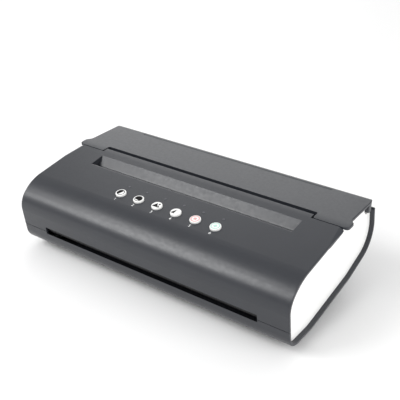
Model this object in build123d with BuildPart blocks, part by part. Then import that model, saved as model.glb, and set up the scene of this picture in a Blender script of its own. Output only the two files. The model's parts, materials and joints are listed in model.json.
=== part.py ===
from build123d import *
import os
from math import atan2, cos, degrees, hypot, pi, radians, sin, sqrt, tan

# Thermal stencil copier: a desk machine that draws an original through a trough in its top,
# reads it, and burns it into stencil paper that is fed under a rear lid.
# Millimetres. +X is the right end, -Y the front with the paper slot, +Z up.
# The origin is on the table, under the middle of the case.

# ------------------------------------------------------------------ case: driving dimensions
case_width = 290.0  # over the ends of the two shells
case_depth = 148.6  # over nose and heel
case_top = 81.8  # table to the rear edge of the lid
belly_height = 7.0  # table to the flat under the nose
skin = 2.2  # moulded wall of tray, cover and lid
seam = 0.5  # gap shown between two outer shells
seam_height = 26.4  # table to the seam in the front wall
end_inset = 4.0  # end panels sit this far inside the shells' ends
panel_wall = 2.2  # thickness of an end panel
ledge, ledge_height = 1.4, 3.0  # ribs that the end panels stand against
edge_round = 0.8  # rounding of the shells' end edges

# Side outline, as corners that are rounded afterwards
chin_setback = 5.0
lip_reach, lip_height = 1.15, 52.0
brow_setback, brow_height = 15.3, 67.6
crest_y, crest_height = 14.0, 80.6
tail_setback = 4.6
heel_reach, heel_height = 3.5, 36.0
keel_y, keel_height = 31.9, 19.6
belly_y = -34.3
chin_r, lip_r, brow_r, crest_r = 15.0, 19.5, 38.0, 60.0
tail_r, heel_r, keel_r, belly_r = 6.5, 26.0, 40.0, 35.0

# Clearances, each named for what it keeps apart
seat_gap = 0.25  # fixed pieces laid against each other
move_gap = 0.4  # a moving piece beside a fixed one
run_gap = 0.05  # shaft in its bearing, on the radius
press_gap = 0.02  # pressed or glued pieces, on the radius

# ------------------------------------------------------------------ lid and hinge
lid_front_y = 10.9  # side parts of the lid start here
lid_middle_y = 20.0  # middle part of the lid starts here
tongue_back_y = 15.4  # the cover's tongue ends here, in front of the stencil gap
tongue_gap = 1.6  # between the tongue's ends and the lid
lid_gap = 0.9  # between the cover's rear edge and the lid
lid_end_gap = 0.5  # the lid's sides sit this far inside the shells' ends
lid_corner_r = 1.8  # plan radius at the lid's front corners
lid_rear_corner_r = 9.5  # plan radius at the lid's rear corners
lid_rim, lid_rim_depth = 1.8, 4.2  # rim under the front edge of the lid's middle part
lid_rib, lid_rib_depth = 1.4, 3.0
tab_reach = 3.6  # thumb tabs stand out of the lid's sides
tab_front_y, tab_back_y = 11.6, 21.0
tab_thickness = 2.4
tab_round, tab_blend = 3.0, 7.0
knuckle_length = 12.0
hinge_pin_r = 1.5
hinge_pin_length = 22.0

# ------------------------------------------------------------------ openings for paper
slot_low, slot_high = 24.2, 31.4  # front slot
slot_fall = 1.6  # the slot's lower edge falls this much through the wall
outlet_low, outlet_high = 58.6, 65.4  # rear slot for the stencil
trough_front_y, trough_back_y = -10.9, 3.4  # edges of the trough in the cover's top
trough_slope = radians(45.0)  # of the trough's rear face, which the original slides down
throat_back_y, throat = -4.6, 2.8  # rear wall and width of the slit at the bottom of the trough
throat_z = 57.0
ramp_foot_z = 61.0
trough_lip_r, trough_foot_r = 2.5, 5.0
trough_wall = 1.8

# ------------------------------------------------------------------ control panel
button_count = 6
button_pitch = 20.65
button_shift = 0.5
button_y = -37.1
cap_r, cap_proud, cap_travel = 5.0, 1.6, 1.2
cap_edge_r = 0.7
cap_flange_r, cap_flange = 6.2, 1.0
cap_stem_r, cap_stem = 1.8, 1.2
lamp_row = 12.1  # indicator row behind the buttons, along the panel
lamp_r, lamp_proud, lamp_length = 1.1, 0.2, 6.5
lamp_flange_r, lamp_flange = 1.9, 0.8
switch_size, switch_height = 6.2, 3.0
switch_knob_r, switch_knob = 1.7, 1.0
board = 1.6  # circuit board thickness
control_board_x, control_board_y = 134.0, 31.0
post_r = 2.8

# ------------------------------------------------------------------ scoops beside the thumb tabs
scoop_front_y = -18.0
scoop_width, scoop_depth = 4.4, 2.2

# ------------------------------------------------------------------ frames and paper path
frame_sheet = 1.2
frame_front_setback, frame_back_setback, frame_top = 12.3, 13.3, 68.0
frame_margin = 2.5  # frame edge to the shells
frame_tabs = ((-54.5, 14.0), (47.0, 33.0))  # where the frames stand on the tray, and how high
frame_tab_length, frame_tab_width = 10.0, 9.0
shaft_r = 3.0
bush_r, bush_flange_r, bush_flange = 4.4, 5.2, 1.0
scan_y, scan_z, scan_r = -15.5, 50.0, 8.0
exit_y, exit_r = -53.6, 7.0
pinch_r, pinch_shaft_r = 4.5, 2.0
ring_length = 16.0  # rubber rings on the exit and pinch rollers
platen_y, platen_z, platen_r = 38.0, 58.0, 8.5
nip = 0.3  # between two things that pinch the paper
sheet = 1.5  # moulded paper guides
guide_end = -58.0  # degrees, where the curved guide ends under the scan roller
chute_drop = 1.0  # chute below the path
deck_wall = 1.8
deck_front_y, deck_front_z = 13.5, 72.5
deck_ramp_foot_y, deck_ramp_foot_z = 28.5, 66.0
deck_step = 1.0  # fall of the deck from the front to the back of the platen's opening
deck_back_z = 61.0
deck_slot = 15.6  # opening for the platen roller
deck_shelf_z = 72.0

# ------------------------------------------------------------------ gears, all of one module
module = 1.0
pressure_angle = radians(20.0)
backlash = 0.18
addendum, dedendum = 0.8, 1.15
gear_width = 4.6
gear_lane = 0.9  # between frame and first gear, and between the two gear planes
scan_teeth, exit_teeth, transfer_teeth, platen_teeth = 20, 16, 22, 22
small_teeth, large_teeth, pinion_teeth = 12, 28, 12
web = 2.2  # gear web between hub and rim
hub_wall, rim_wall = 2.6, 2.0
pin_r = 2.0
scan_motor_y, scan_motor_z, scan_motor_r = -41.0, 19.8, 9.2
platen_motor_y, platen_motor_z, platen_motor_r = 33.0, 35.8, 12.0
motor_length, motor_boss_r, motor_boss = 19.0, 3.5, 1.0
motor_shaft_r, motor_shaft_in = 1.5, 6.0

# ------------------------------------------------------------------ print head
heater_width, heater = 11.0, 1.0
sink_width, sink_base, sink = 20.0, 2.0, 5.4
fin = 1.2
fin_offsets = (-9.4, -6.2, 6.2, 9.4)
head_travel = 1.2
lug_r, lug_length = 1.2, 3.4
bracket_width, bracket_sheet = 24.0, 1.0
spring_width, spring_sheet, spring_span = 7.0, 0.5, 30.0
spring_places = (-80.0, -28.0, 28.0, 80.0)

# ------------------------------------------------------------------ image sensor
sensor_back_y, sensor_width, sensor_height = -11.4, 16.6, 12.0
glass_width, glass, glass_proud = 11.0, 1.1, 0.4

# ------------------------------------------------------------------ paper levers
lever_x = 30.0
lever_width, lever_r, lever_arm = 3.0, 1.5, 1.6
lever_ear, lever_ear_r = 1.6, 3.2
document_pivot_y, document_pivot_z = 1.4, 56.0
document_tip_y, document_tip_z = -6.6, 54.2
stencil_pivot_y, stencil_pivot_z = 19.5, 62.2
stencil_tip_y, stencil_tip_z = 22.5, 70.6

# ------------------------------------------------------------------ feet
front_foot_setback, rear_foot_setback = 27.7, 36.3
foot_r, foot_height, foot_set = 6.5, 3.5, 1.0
leg_r, leg_taper = 8.4, -3.0

# ------------------------------------------------------------------ sockets in the rear wall
well_depth = 7.7  # from the case's rear to the flat that the inlet and the switch stand on
well_wall = 1.8
well_z = 47.0
inlet_w, inlet_h, inlet_bezel = 24.0, 14.0, 2.0
inlet_mouth_w, inlet_mouth_h, inlet_mouth_depth = 15.0, 8.4, 12.0
inlet_body, inlet_body_depth = 1.6, 17.0
contact_r, contact_pitch, contact_length = 1.2, 8.6, 9.0
rocker_w, rocker_h, rocker_bezel = 21.0, 15.0, 2.0
paddle_w, paddle_h, paddle_swing = 12.6, 8.4, 9.0
paddle_r = 7.0
rocker_body, rocker_body_depth = 1.6, 13.0

# ------------------------------------------------------------------ case screws and boards
boss_front_setback, boss_rear_y = 18.3, -1.0
boss_r, screw_r, screw_head_r, screw_head = 3.4, 1.5, 2.6, 2.0
screw_seat_z, screw_bite = 18.0, 9.0
board_z = 27.0
power_board_x1, main_board_x0 = -8.0, 2.0  # edges of the two boards beside the middle
board_y0, board_y1 = 7.0, 42.0
board_post_in = 5.0
vent_count, vent_pitch, vent_width, vent_length = 7, 9.0, 3.0, 16.0
vent_x, vent_y = 60.0, -12.0

# ------------------------------------------------------------------ places along X
# from the shells' ends inwards
frame_in = 27.8  # inner faces of the steel side frames
foot_in, boss_in, shelf_in = 27.0, 11.4, 7.0  # feet, case screws, ends of the deck's shelves
inlet_in, rocker_in = 53.0, 85.0  # middles of the inlet and the switch, from the left end
# from the frames' inner faces inwards
slot_in, outlet_in, trough_in = 1.0, 2.2, 7.0  # ends of the three paper openings
tongue_in, rail_in = 2.7, 10.8  # ends of the cover's tongue and of the tray's hinge rail
deck_in, deck_slot_in = 2.2, 7.2  # side walls of the deck, ends of the platen's opening
roller_in, ring_in = 8.2, 37.2  # ends of the rubber rollers, middles of the outer rings
heater_in, sink_in, bracket_in = 7.2, 6.2, 3.4  # ends of the print head's pieces
power_board_in, main_board_in = 9.2, 23.2  # outer edges of the boards

# ================================================================== worked-out places
front, rear = -case_depth / 2, case_depth / 2
half = case_width / 2
lid_half = half - lid_end_gap
frame_x = half - frame_in
foot_x, boss_x, deck_shelf_half = half - foot_in, half - boss_in, half - shelf_in
inlet_x, rocker_x = inlet_in - half, rocker_in - half
slot_half, outlet_half, trough_half = frame_x - slot_in, frame_x - outlet_in, frame_x - trough_in
tongue_half, rail_half = frame_x - tongue_in, frame_x - rail_in
deck_half, deck_slot_half = frame_x - deck_in, frame_x - deck_slot_in
roller_half = frame_x - roller_in
ring_places = (ring_in - frame_x, 0.0, frame_x - ring_in)
heater_half, sink_half, bracket_half = frame_x - heater_in, frame_x - sink_in, frame_x - bracket_in
power_board_x0, main_board_x1 = power_board_in - frame_x, frame_x - main_board_in
frame_front_y, frame_back_y = front + frame_front_setback, rear - frame_back_setback
front_foot_y, rear_foot_y = front + front_foot_setback, rear - rear_foot_setback
boss_front_y = front + boss_front_setback
well_floor_y = rear - well_depth
chin = (front + chin_setback, belly_height)
lip = (front - lip_reach, lip_height)
brow = (front + brow_setback, brow_height)
crest = (crest_y, crest_height)
tail = (rear - tail_setback, case_top)
heel = (rear + heel_reach, heel_height)
keel = (keel_y, keel_height)
belly = (belly_y, belly_height)
outline_corners = [chin, lip, brow, crest, tail, heel, keel, belly]
outline_radii = [chin_r, lip_r, brow_r, crest_r, tail_r, heel_r, keel_r, belly_r]
beyond = 20.0  # cutters reach this far past what they cut
panel_tilt = atan2(crest[1] - brow[1], crest[0] - brow[0])
wall_run = (lip[0] - chin[0]) / (lip[1] - chin[1])  # lean of the front wall


def on_line(a, b, y):
    """Height at y of the line through a and b."""
    return a[1] + (y - a[0]) * (b[1] - a[1]) / (b[0] - a[0])


def panel_z(y):
    """Height of the control panel's outer face."""
    return on_line(brow, crest, y)


def lid_z(y):
    """Height of the lid's outer face."""
    return on_line(crest, tail, y)


def corner_centre(before, corner, after, radius):
    """Centre of the arc that rounds a corner."""
    ay, az = before[0] - corner[0], before[1] - corner[1]
    by, bz = after[0] - corner[0], after[1] - corner[1]
    al, bl = hypot(ay, az), hypot(by, bz)
    my, mz = ay / al + by / bl, az / al + bz / bl
    ml = hypot(my, mz)
    reach = radius / sqrt((1 - (ay * by + az * bz) / (al * bl)) / 2)
    return corner[0] + reach * my / ml, corner[1] + reach * mz / ml


hinge_y, hinge_z = corner_centre(crest, tail, heel, tail_r)
hinge_axis = (hinge_y, hinge_z)
relief_r = tail_r + move_gap
rear_wall_top = hinge_z - tail_r / 2


def mesh_centre(a, ra, b, rb, side):
    """Centre at ra from a and rb from b, on one side of the line from a to b."""
    dy, dz = b[0] - a[0], b[1] - a[1]
    d = hypot(dy, dz)
    along = (ra**2 - rb**2 + d**2) / (2 * d)
    across = side * sqrt(ra**2 - along**2)
    return a[0] + (along * dy - across * dz) / d, a[1] + (along * dz + across * dy) / d


def pitch_sum(teeth_a, teeth_b):
    """Centre distance of two meshed gears."""
    return module * (teeth_a + teeth_b) / 2


def mesh_turn(a, turn_a, teeth_a, b, teeth_b):
    """Turn of gear b that puts a gap on each tooth of gear a."""
    line = atan2(b[1] - a[1], b[0] - a[0])
    share = (line - turn_a) * teeth_a / (2 * pi)
    return line + pi - (0.5 - share) * 2 * pi / teeth_b


# Paper leaves the trough, turns under the scan roller and runs down to the front slot
path_start = (scan_y, scan_z - scan_r)
path_end = (front, seam_height + seam)
path_angle = atan2(path_start[1] - path_end[1], path_start[0] - path_end[0])
exit_z = on_line(path_start, path_end, exit_y) + (exit_r + nip / 2) / cos(path_angle)
pinch_y = exit_y + (exit_r + pinch_r + nip) * sin(path_angle)
pinch_z = exit_z - (exit_r + pinch_r + nip) * cos(path_angle)

scan = (scan_y, scan_z)
exit_axis = (exit_y, exit_z)
pinch_axis = (pinch_y, pinch_z)
platen = (platen_y, platen_z)
scan_motor_axis = (scan_motor_y, scan_motor_z)
platen_motor_axis = (platen_motor_y, platen_motor_z)
to_pinion = pitch_sum(large_teeth, pinion_teeth)
scan_to_transfer = pitch_sum(scan_teeth, transfer_teeth)
exit_to_transfer = pitch_sum(transfer_teeth, exit_teeth)
transfer = mesh_centre(scan, scan_to_transfer, exit_axis, exit_to_transfer, -1)
transfer_to_small = pitch_sum(transfer_teeth, small_teeth)
scan_compound = mesh_centre(transfer, transfer_to_small, scan_motor_axis, to_pinion, 1)
platen_to_small = pitch_sum(platen_teeth, small_teeth)
platen_compound = mesh_centre(platen, platen_to_small, platen_motor_axis, to_pinion, -1)
transfer_turn = mesh_turn(scan, 0.0, scan_teeth, transfer, transfer_teeth)
exit_turn = mesh_turn(transfer, transfer_turn, transfer_teeth, exit_axis, exit_teeth)
scan_small_turn = mesh_turn(transfer, transfer_turn, transfer_teeth, scan_compound, small_teeth)
scan_pinion_turn = mesh_turn(
    scan_compound, scan_small_turn, large_teeth, scan_motor_axis, pinion_teeth
)
platen_small_turn = mesh_turn(platen, 0.0, platen_teeth, platen_compound, small_teeth)
platen_pinion_turn = mesh_turn(
    platen_compound, platen_small_turn, large_teeth, platen_motor_axis, pinion_teeth
)

frame_out = frame_x + frame_sheet
inner_lane = frame_out + gear_lane  # gear plane next to the frame
outer_lane = inner_lane + gear_width + gear_lane
shaft_end = inner_lane + gear_width + gear_lane / 2
pin_end = outer_lane + gear_width + gear_lane / 2
span_half = frame_x - seat_gap  # pieces held between the two frames
panel_in = half - end_inset - panel_wall
panel_out = half - end_inset
button_xs = [button_shift + (i - (button_count - 1) / 2) * button_pitch for i in range(button_count)]

trough_knee_z = panel_z(trough_back_y) - (trough_back_y - throat_back_y) * tan(trough_slope)

# Levels below the control panel's face
flange_top = skin + nip
flange_low = flange_top + cap_flange
stem_low = flange_low + cap_stem
knob_top = stem_low + cap_travel + nip / 2
switch_top = knob_top + switch_knob
board_top = switch_top + switch_height
board_low = board_top + board

# Levels above the platen roller
head_z = platen_z + platen_r + nip
sink_z = head_z + heater
sink_top = sink_z + sink
base_top = sink_z + sink_base
lug_z = base_top + lug_r
bracket_top = lid_z(platen_y - bracket_width / 2) - skin - seat_gap
bracket_low = lug_z - lug_r - bracket_sheet - move_gap

# Levels under the scan roller
glass_top = scan_z - scan_r - nip
sensor_top = glass_top - glass_proud
sensor_front_y = sensor_back_y - sensor_width
guide_r = throat_back_y - scan_y

panel_plane = Plane(
    origin=(0, button_y, panel_z(button_y)),
    x_dir=(1, 0, 0),
    z_dir=(0, -sin(panel_tilt), cos(panel_tilt)),
)
panel_normal = Axis(panel_plane.origin, panel_plane.z_dir)
screw_posts = [(x, y) for x in (-boss_x, boss_x) for y in (boss_front_y, boss_rear_y)]
foot_places = [(x, y) for x in (-foot_x, foot_x) for y in (front_foot_y, rear_foot_y)]
tab_x = frame_out + frame_tab_length / 2
tab_places = [(side * tab_x, y, z) for side in (-1, 1) for y, z in frame_tabs]
board_posts = [
    (x, y)
    for x0, x1 in ((power_board_x0, power_board_x1), (main_board_x0, main_board_x1))
    for x in (x0 + board_post_in, x1 - board_post_in)
    for y in (board_y0 + board_post_in, board_y1 - board_post_in)
]
control_posts = [
    (
        x * (control_board_x / 2 - board_post_in),
        y * (control_board_y / 2 - board_post_in) + lamp_row / 2,
    )
    for x in (-1, 1)
    for y in (-1, 1)
]
on_base = (Align.CENTER, Align.CENTER, Align.MIN)
under_top = (Align.CENTER, Align.CENTER, Align.MAX)
os.makedirs("parts", exist_ok=True)


slot_wall_y = chin[0] + (slot_low - chin[1]) * wall_run
slot_side = [
    (front - beyond, slot_low),
    (slot_wall_y, slot_low),
    (slot_wall_y + 2 * skin, slot_low - 2 * slot_fall),
    (slot_wall_y + 2 * skin, slot_high),
    (front - beyond, slot_high),
]


def case_side(inset=0.0):
    """Side outline of the case, drawn in by inset, to be added to a sketch on a YZ plane."""
    with BuildSketch() as side:
        with BuildLine():
            Polyline(*outline_corners, close=True)
        make_face()
        for corner, radius in zip(outline_corners, outline_radii):
            fillet(side.vertices().sort_by_distance((*corner, 0))[0], radius=radius)
        if inset > 0:
            offset(amount=-inset)
    return side.sketch


def block(x0, x1, y0, y1, z0, z1, mode=Mode.ADD):
    """Box between two corners, in the current part."""
    with Locations(((x0 + x1) / 2, (y0 + y1) / 2, (z0 + z1) / 2)):
        Box(abs(x1 - x0), abs(y1 - y0), abs(z1 - z0), mode=mode)


def bar(x0, x1, centre, radius, mode=Mode.ADD):
    """Round bar along X, in the current part."""
    with BuildSketch(Plane.YZ.offset(x0)) as end:
        with Locations(centre):
            Circle(radius)
    extrude(end.sketch, amount=x1 - x0, mode=mode)


def slab(points, x0, x1, mode=Mode.ADD):
    """Side polygon of (y, z) points extruded from x0 to x1, in the current part."""
    with BuildSketch(Plane.YZ.offset(x0)) as end:
        with BuildLine():
            Polyline(*points, close=True)
        make_face()
    extrude(end.sketch, amount=x1 - x0, mode=mode)


def strip(points, wall):
    """Outline of a bent sheet: its top line, and the same line lowered by its wall."""
    return list(points) + [(y, z - wall) for y, z in reversed(points)]


def gear_points(centre, teeth, turn):
    """Outline of a spur gear: three points on each flank of each tooth."""
    pitch = module * teeth / 2
    base = pitch * cos(pressure_angle)
    thickness = pi * module / 2 - backlash

    def half_tooth(radius):
        slant = sqrt(max(radius**2 - base**2, 0)) / base
        roll = tan(pressure_angle) - pressure_angle - slant + atan2(slant, 1)
        return thickness / (2 * pitch) + roll

    flank = [(r, half_tooth(r)) for r in (pitch - dedendum, pitch, pitch + addendum)]
    points = []
    for i in range(teeth):
        middle = turn + 2 * pi * i / teeth
        for r, a in flank:
            points.append((centre[0] + r * cos(middle - a), centre[1] + r * sin(middle - a)))
        for r, a in reversed(flank):
            points.append((centre[0] + r * cos(middle + a), centre[1] + r * sin(middle + a)))
    return points


def gear(centre, teeth, turn, side, lane):
    """Spur gear on one side of the machine, in the current part."""
    slab(gear_points(centre, teeth, turn), side * lane, side * (lane + gear_width))


def gear_recess(centre, teeth, bore, side, lane):
    """Ring-shaped recess in a gear's outer face, between its hub and its rim."""
    with BuildSketch(Plane.YZ.offset(side * (lane + web))) as ring:
        with Locations(centre):
            Circle(module * teeth / 2 - dedendum - rim_wall)
            Circle(bore + hub_wall, mode=Mode.SUBTRACT)
    extrude(ring.sketch, amount=side * gear_width, mode=Mode.SUBTRACT)


def finish(piece, name):
    """Label a finished piece and write it."""
    piece.part.label = name
    export_step(piece.part, f"parts/{name}.step")


# Whole case as a block, and the space inside its walls
with BuildPart() as case_block:
    with BuildSketch(Plane.YZ):
        add(case_side())
    extrude(amount=half, both=True)
    case_ends = case_block.faces().filter_by(Axis.X)
    fillet(case_ends.edges(), radius=edge_round)

with BuildPart() as case_cavity:
    with BuildSketch(Plane.YZ):
        add(case_side(skin))
    extrude(amount=half + beyond, both=True)

with BuildPart() as panel_ledges:
    with BuildSketch(Plane.YZ.offset(panel_in - seat_gap)):
        add(case_side(skin - press_gap))
        add(case_side(skin + ledge_height), mode=Mode.SUBTRACT)
    extrude(amount=-ledge)
    mirror(about=Plane.YZ)

# ================================================================== bottom tray
with BuildPart() as tray_posts:
    with Locations(*[(x, y, 0) for x, y in screw_posts]):
        Cylinder(boss_r, seam_height - seat_gap, align=on_base)
    with Locations(*[(x, y, 0) for x, y in board_posts]):
        Cylinder(post_r, board_z, align=on_base)
    for x, y, z in tab_places:
        with Locations((x, y, 0)):
            Cylinder(boss_r, z, align=on_base)
    add(case_block.part, mode=Mode.INTERSECT)

with BuildPart() as tray_ledges:
    add(panel_ledges.part)
    block(-half, half, chin[0], 0, seam_height, case_top, mode=Mode.SUBTRACT)
    block(-half, half, front - beyond, chin[0], seam_height - ledge, case_top, mode=Mode.SUBTRACT)
    block(-half, half, 0, rear + beyond, outlet_high, case_top, mode=Mode.SUBTRACT)

with BuildPart() as socket_wells:
    for x, w, h in ((inlet_x, inlet_w, inlet_h), (rocker_x, rocker_w, rocker_h)):
        block(
            x - w / 2 - seat_gap - well_wall,
            x + w / 2 + seat_gap + well_wall,
            well_floor_y - skin,
            rear + beyond,
            well_z - h / 2 - seat_gap - well_wall,
            well_z + h / 2 + seat_gap + well_wall,
        )
    add(case_block.part, mode=Mode.INTERSECT)

with BuildPart() as hinge_rail:
    bar(-rail_half, rail_half, hinge_axis, tail_r)
    # web from the rail down to the rear wall
    with BuildSketch(Plane.YZ):
        add(case_side())
        with Locations((hinge_y + tail_r, rear_wall_top)):
            Rectangle(2 * tail_r, 2 * (hinge_z - rear_wall_top), mode=Mode.INTERSECT)
    extrude(amount=rail_half, both=True)
    # hollow between the seats of the two pins, open below
    with BuildSketch(Plane.YZ) as rail_hollow:
        with Locations(hinge_axis):
            Circle(tail_r - skin)
            Rectangle(2 * (tail_r - skin), 2 * tail_r, align=(Align.CENTER, Align.MAX))
    extrude(
        rail_hollow.sketch,
        amount=rail_half - hinge_pin_length / 2 - skin,
        both=True,
        mode=Mode.SUBTRACT,
    )

with BuildPart() as bottom_tray:
    add(case_block.part)
    slab(
        [
            (front - beyond, seam_height),
            (platen_y, seam_height),
            (platen_y, rear_wall_top),
            (rear + beyond, rear_wall_top),
            (rear + beyond, case_top + beyond),
            (front - beyond, case_top + beyond),
        ],
        -half - beyond,
        half + 2 * beyond,
        mode=Mode.SUBTRACT,
    )
    for x, y in foot_places:
        leg_top = on_line(keel, heel, y + leg_r) if y > keel_y else belly_height
        with BuildSketch(Plane.XY.offset(foot_height - foot_set)):
            with Locations((x, y)):
                Circle(leg_r)
        extrude(amount=leg_top, taper=leg_taper)
    add(case_cavity.part, mode=Mode.SUBTRACT)
    add(tray_posts.part)
    add(tray_ledges.part)
    add(socket_wells.part)
    add(hinge_rail.part)
    for side in (-1, 1):
        bar(side * rail_half, side * (half + beyond), hinge_axis, relief_r, mode=Mode.SUBTRACT)
        pin_foot = rail_half - hinge_pin_length / 2 - seat_gap
        bar(side * pin_foot, side * half, hinge_axis, hinge_pin_r + press_gap, mode=Mode.SUBTRACT)
    # front paper slot, and the stencil's slot in the rear wall
    slab(slot_side, -slot_half, slot_half, mode=Mode.SUBTRACT)
    block(
        -outlet_half, outlet_half, hinge_y, rear + beyond, outlet_low, outlet_high, mode=Mode.SUBTRACT
    )
    # seats of the rubber feet, and the hollow of the rear legs
    for x, y in foot_places:
        with Locations((x, y, 0)):
            Cylinder(foot_r + press_gap, foot_height, align=on_base, mode=Mode.SUBTRACT)
        if y > 0:
            with Locations((x, y, foot_height + skin)):
                Cylinder(leg_r - skin, keel_height + beyond, align=on_base, mode=Mode.SUBTRACT)
    # wells, with windows for the bodies of the inlet and the switch
    for x, w, h in ((inlet_x, inlet_w, inlet_h), (rocker_x, rocker_w, rocker_h)):
        block(
            x - w / 2 - seat_gap,
            x + w / 2 + seat_gap,
            well_floor_y,
            rear + beyond,
            well_z - h / 2 - seat_gap,
            well_z + h / 2 + seat_gap,
            mode=Mode.SUBTRACT,
        )
    for x, w, h, wall in (
        (inlet_x, inlet_mouth_w, inlet_mouth_h, inlet_body),
        (rocker_x, paddle_w, paddle_h, rocker_body),
    ):
        block(
            x - w / 2 - wall - seat_gap,
            x + w / 2 + wall + seat_gap,
            well_floor_y - 2 * skin,
            well_floor_y + skin,
            well_z - h / 2 - wall - seat_gap,
            well_z + h / 2 + wall + seat_gap,
            mode=Mode.SUBTRACT,
        )
    # case screws enter from below, frame screws from above
    for x, y in screw_posts:
        with Locations((x, y, 0)):
            Cylinder(screw_head_r + move_gap, screw_seat_z, align=on_base, mode=Mode.SUBTRACT)
            Cylinder(screw_r + move_gap, 2 * seam_height, align=on_base, mode=Mode.SUBTRACT)
    with Locations(*tab_places):
        Cylinder(screw_r + press_gap, 2 * (screw_bite - frame_sheet), mode=Mode.SUBTRACT)
    for x in (-vent_x, vent_x):
        with Locations((x, vent_y, 0)):
            with GridLocations(vent_pitch, 0, vent_count, 1):
                Box(vent_width, vent_length, 2 * keel_height, mode=Mode.SUBTRACT)
finish(bottom_tray, "bottom_tray")

# ================================================================== top cover
def trough_side(wall=0.0):
    """Side outline of the document trough, or of the pocket round it, for a YZ sketch."""
    with BuildSketch() as side:
        with BuildLine():
            Polyline(
                (trough_front_y, panel_z(trough_front_y)),
                (throat_back_y - throat, ramp_foot_z),
                (throat_back_y - throat, throat_z - beyond),
                (throat_back_y, throat_z - beyond),
                (throat_back_y, trough_knee_z),
                (trough_back_y, panel_z(trough_back_y)),
                (trough_back_y, case_top + beyond),
                (trough_front_y, case_top + beyond),
                close=True,
            )
        make_face()
        foot = side.vertices().sort_by_distance((throat_back_y - throat, ramp_foot_z, 0))[0]
        knee = side.vertices().sort_by_distance((throat_back_y, trough_knee_z, 0))[0]
        fillet([foot, knee], radius=trough_foot_r)
        if wall > 0:
            offset(amount=wall, kind=Kind.INTERSECTION)
    return side.sketch


with BuildPart() as trough_void:
    with BuildSketch(Plane.YZ):
        add(trough_side())
    extrude(amount=trough_half, both=True)

with BuildPart() as trough_pocket:
    with BuildSketch(Plane.YZ):
        add(trough_side(trough_wall))
    extrude(amount=trough_half + trough_wall, both=True)
    block(-half, half, front, rear, throat_z - 2 * beyond, throat_z, mode=Mode.SUBTRACT)
    add(case_block.part, mode=Mode.INTERSECT)

with BuildPart() as cover_posts:
    with Locations(*[(x, y, seam_height + seat_gap) for x, y in screw_posts]):
        Cylinder(boss_r, case_top, align=on_base)
    with Locations(panel_plane):
        with Locations(*[(x, y, -board_top + seat_gap) for x, y in control_posts]):
            Cylinder(post_r, board_top - skin / 2, align=on_base)
    add(case_block.part, mode=Mode.INTERSECT)

with BuildPart() as cover_ledges:
    add(panel_ledges.part)
    block(-half, half, lid_front_y - lid_gap, rear + beyond, 0, case_top, mode=Mode.SUBTRACT)
    block(-half, half, front - beyond, rear, 0, seam_height + seam, mode=Mode.SUBTRACT)

# Thicker wall under the scoops, beside the end panels
with BuildPart() as scoop_backs:
    with BuildSketch(Plane.YZ.offset(panel_out + seat_gap)):
        add(case_side(skin - press_gap))
        add(case_side(skin + scoop_depth), mode=Mode.SUBTRACT)
        with Locations((lid_front_y - lid_gap, case_top)):
            Rectangle(
                lid_front_y - lid_gap - scoop_front_y,
                beyond,
                mode=Mode.INTERSECT,
                align=(Align.MAX, Align.CENTER),
            )
    extrude(amount=end_inset - seat_gap - edge_round)
    mirror(about=Plane.YZ)

# Each scoop is one flat cut that deepens along the end edge up to the lid
scoop_back_y = lid_front_y - lid_gap
with BuildPart() as scoop_cutter:
    start = Vector(half, scoop_front_y, panel_z(scoop_front_y))
    inner = Vector(half - scoop_width, scoop_back_y, panel_z(scoop_back_y))
    outer = Vector(half, scoop_back_y, panel_z(scoop_back_y) - scoop_depth)
    scoop_plane = Plane(origin=start, x_dir=inner - start, z_dir=(outer - start).cross(inner - start))
    with Locations(scoop_plane):
        Box(4 * beyond, 4 * beyond, beyond, align=on_base)
    mirror(about=Plane.YZ)

with BuildPart() as top_cover:
    add(case_block.part)
    block(-half, half, front - beyond, rear + beyond, 0, seam_height + seam, mode=Mode.SUBTRACT)
    # rear edge: tongue in the middle, lid seats at both sides
    for side in (-1, 1):
        block(
            side * tongue_half,
            side * (half + beyond),
            lid_front_y - lid_gap,
            rear + beyond,
            0,
            case_top + beyond,
            mode=Mode.SUBTRACT,
        )
    block(-half, half, tongue_back_y, rear + beyond, 0, case_top + beyond, mode=Mode.SUBTRACT)
    add(case_cavity.part, mode=Mode.SUBTRACT)
    add(trough_pocket.part)
    add(trough_void.part, mode=Mode.SUBTRACT)
    trough_edge = (
        top_cover.edges()
        .filter_by(Axis.X)
        .filter_by_position(Axis.Y, trough_front_y - seam, trough_front_y + seam)
        .sort_by(Axis.Z)[-1]
    )
    fillet(trough_edge, radius=trough_lip_r)
    add(cover_posts.part)
    add(cover_ledges.part)
    add(scoop_backs.part)
    add(scoop_cutter.part, mode=Mode.SUBTRACT)
    slab(slot_side, -slot_half, slot_half, mode=Mode.SUBTRACT)
    with Locations(panel_plane):
        with Locations(*[(x, 0, 0) for x in button_xs]):
            Cylinder(cap_r + move_gap, 4 * skin, mode=Mode.SUBTRACT)
        with Locations(*[(x, lamp_row, 0) for x in button_xs]):
            Cylinder(lamp_r + press_gap, 4 * skin, mode=Mode.SUBTRACT)
        with Locations(*[(x, y, -board_top) for x, y in control_posts]):
            Cylinder(screw_r, 2 * (board_top - 2 * skin), mode=Mode.SUBTRACT)
    for x, y in screw_posts:
        with Locations((x, y, seam_height)):
            Cylinder(screw_r + press_gap, 2 * (screw_bite + seam), mode=Mode.SUBTRACT)
finish(top_cover, "top_cover")

# ================================================================== lid
with BuildPart() as lid_skin:
    with BuildSketch(Plane.YZ):
        add(case_side())
    extrude(amount=lid_half, both=True)
    fillet(lid_skin.faces().filter_by(Axis.X).edges(), radius=edge_round)
    add(case_cavity.part, mode=Mode.SUBTRACT)
    block(
        -half,
        half,
        lid_front_y - seam,
        hinge_y,
        deck_shelf_z,
        case_top + beyond,
        mode=Mode.INTERSECT,
    )

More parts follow.
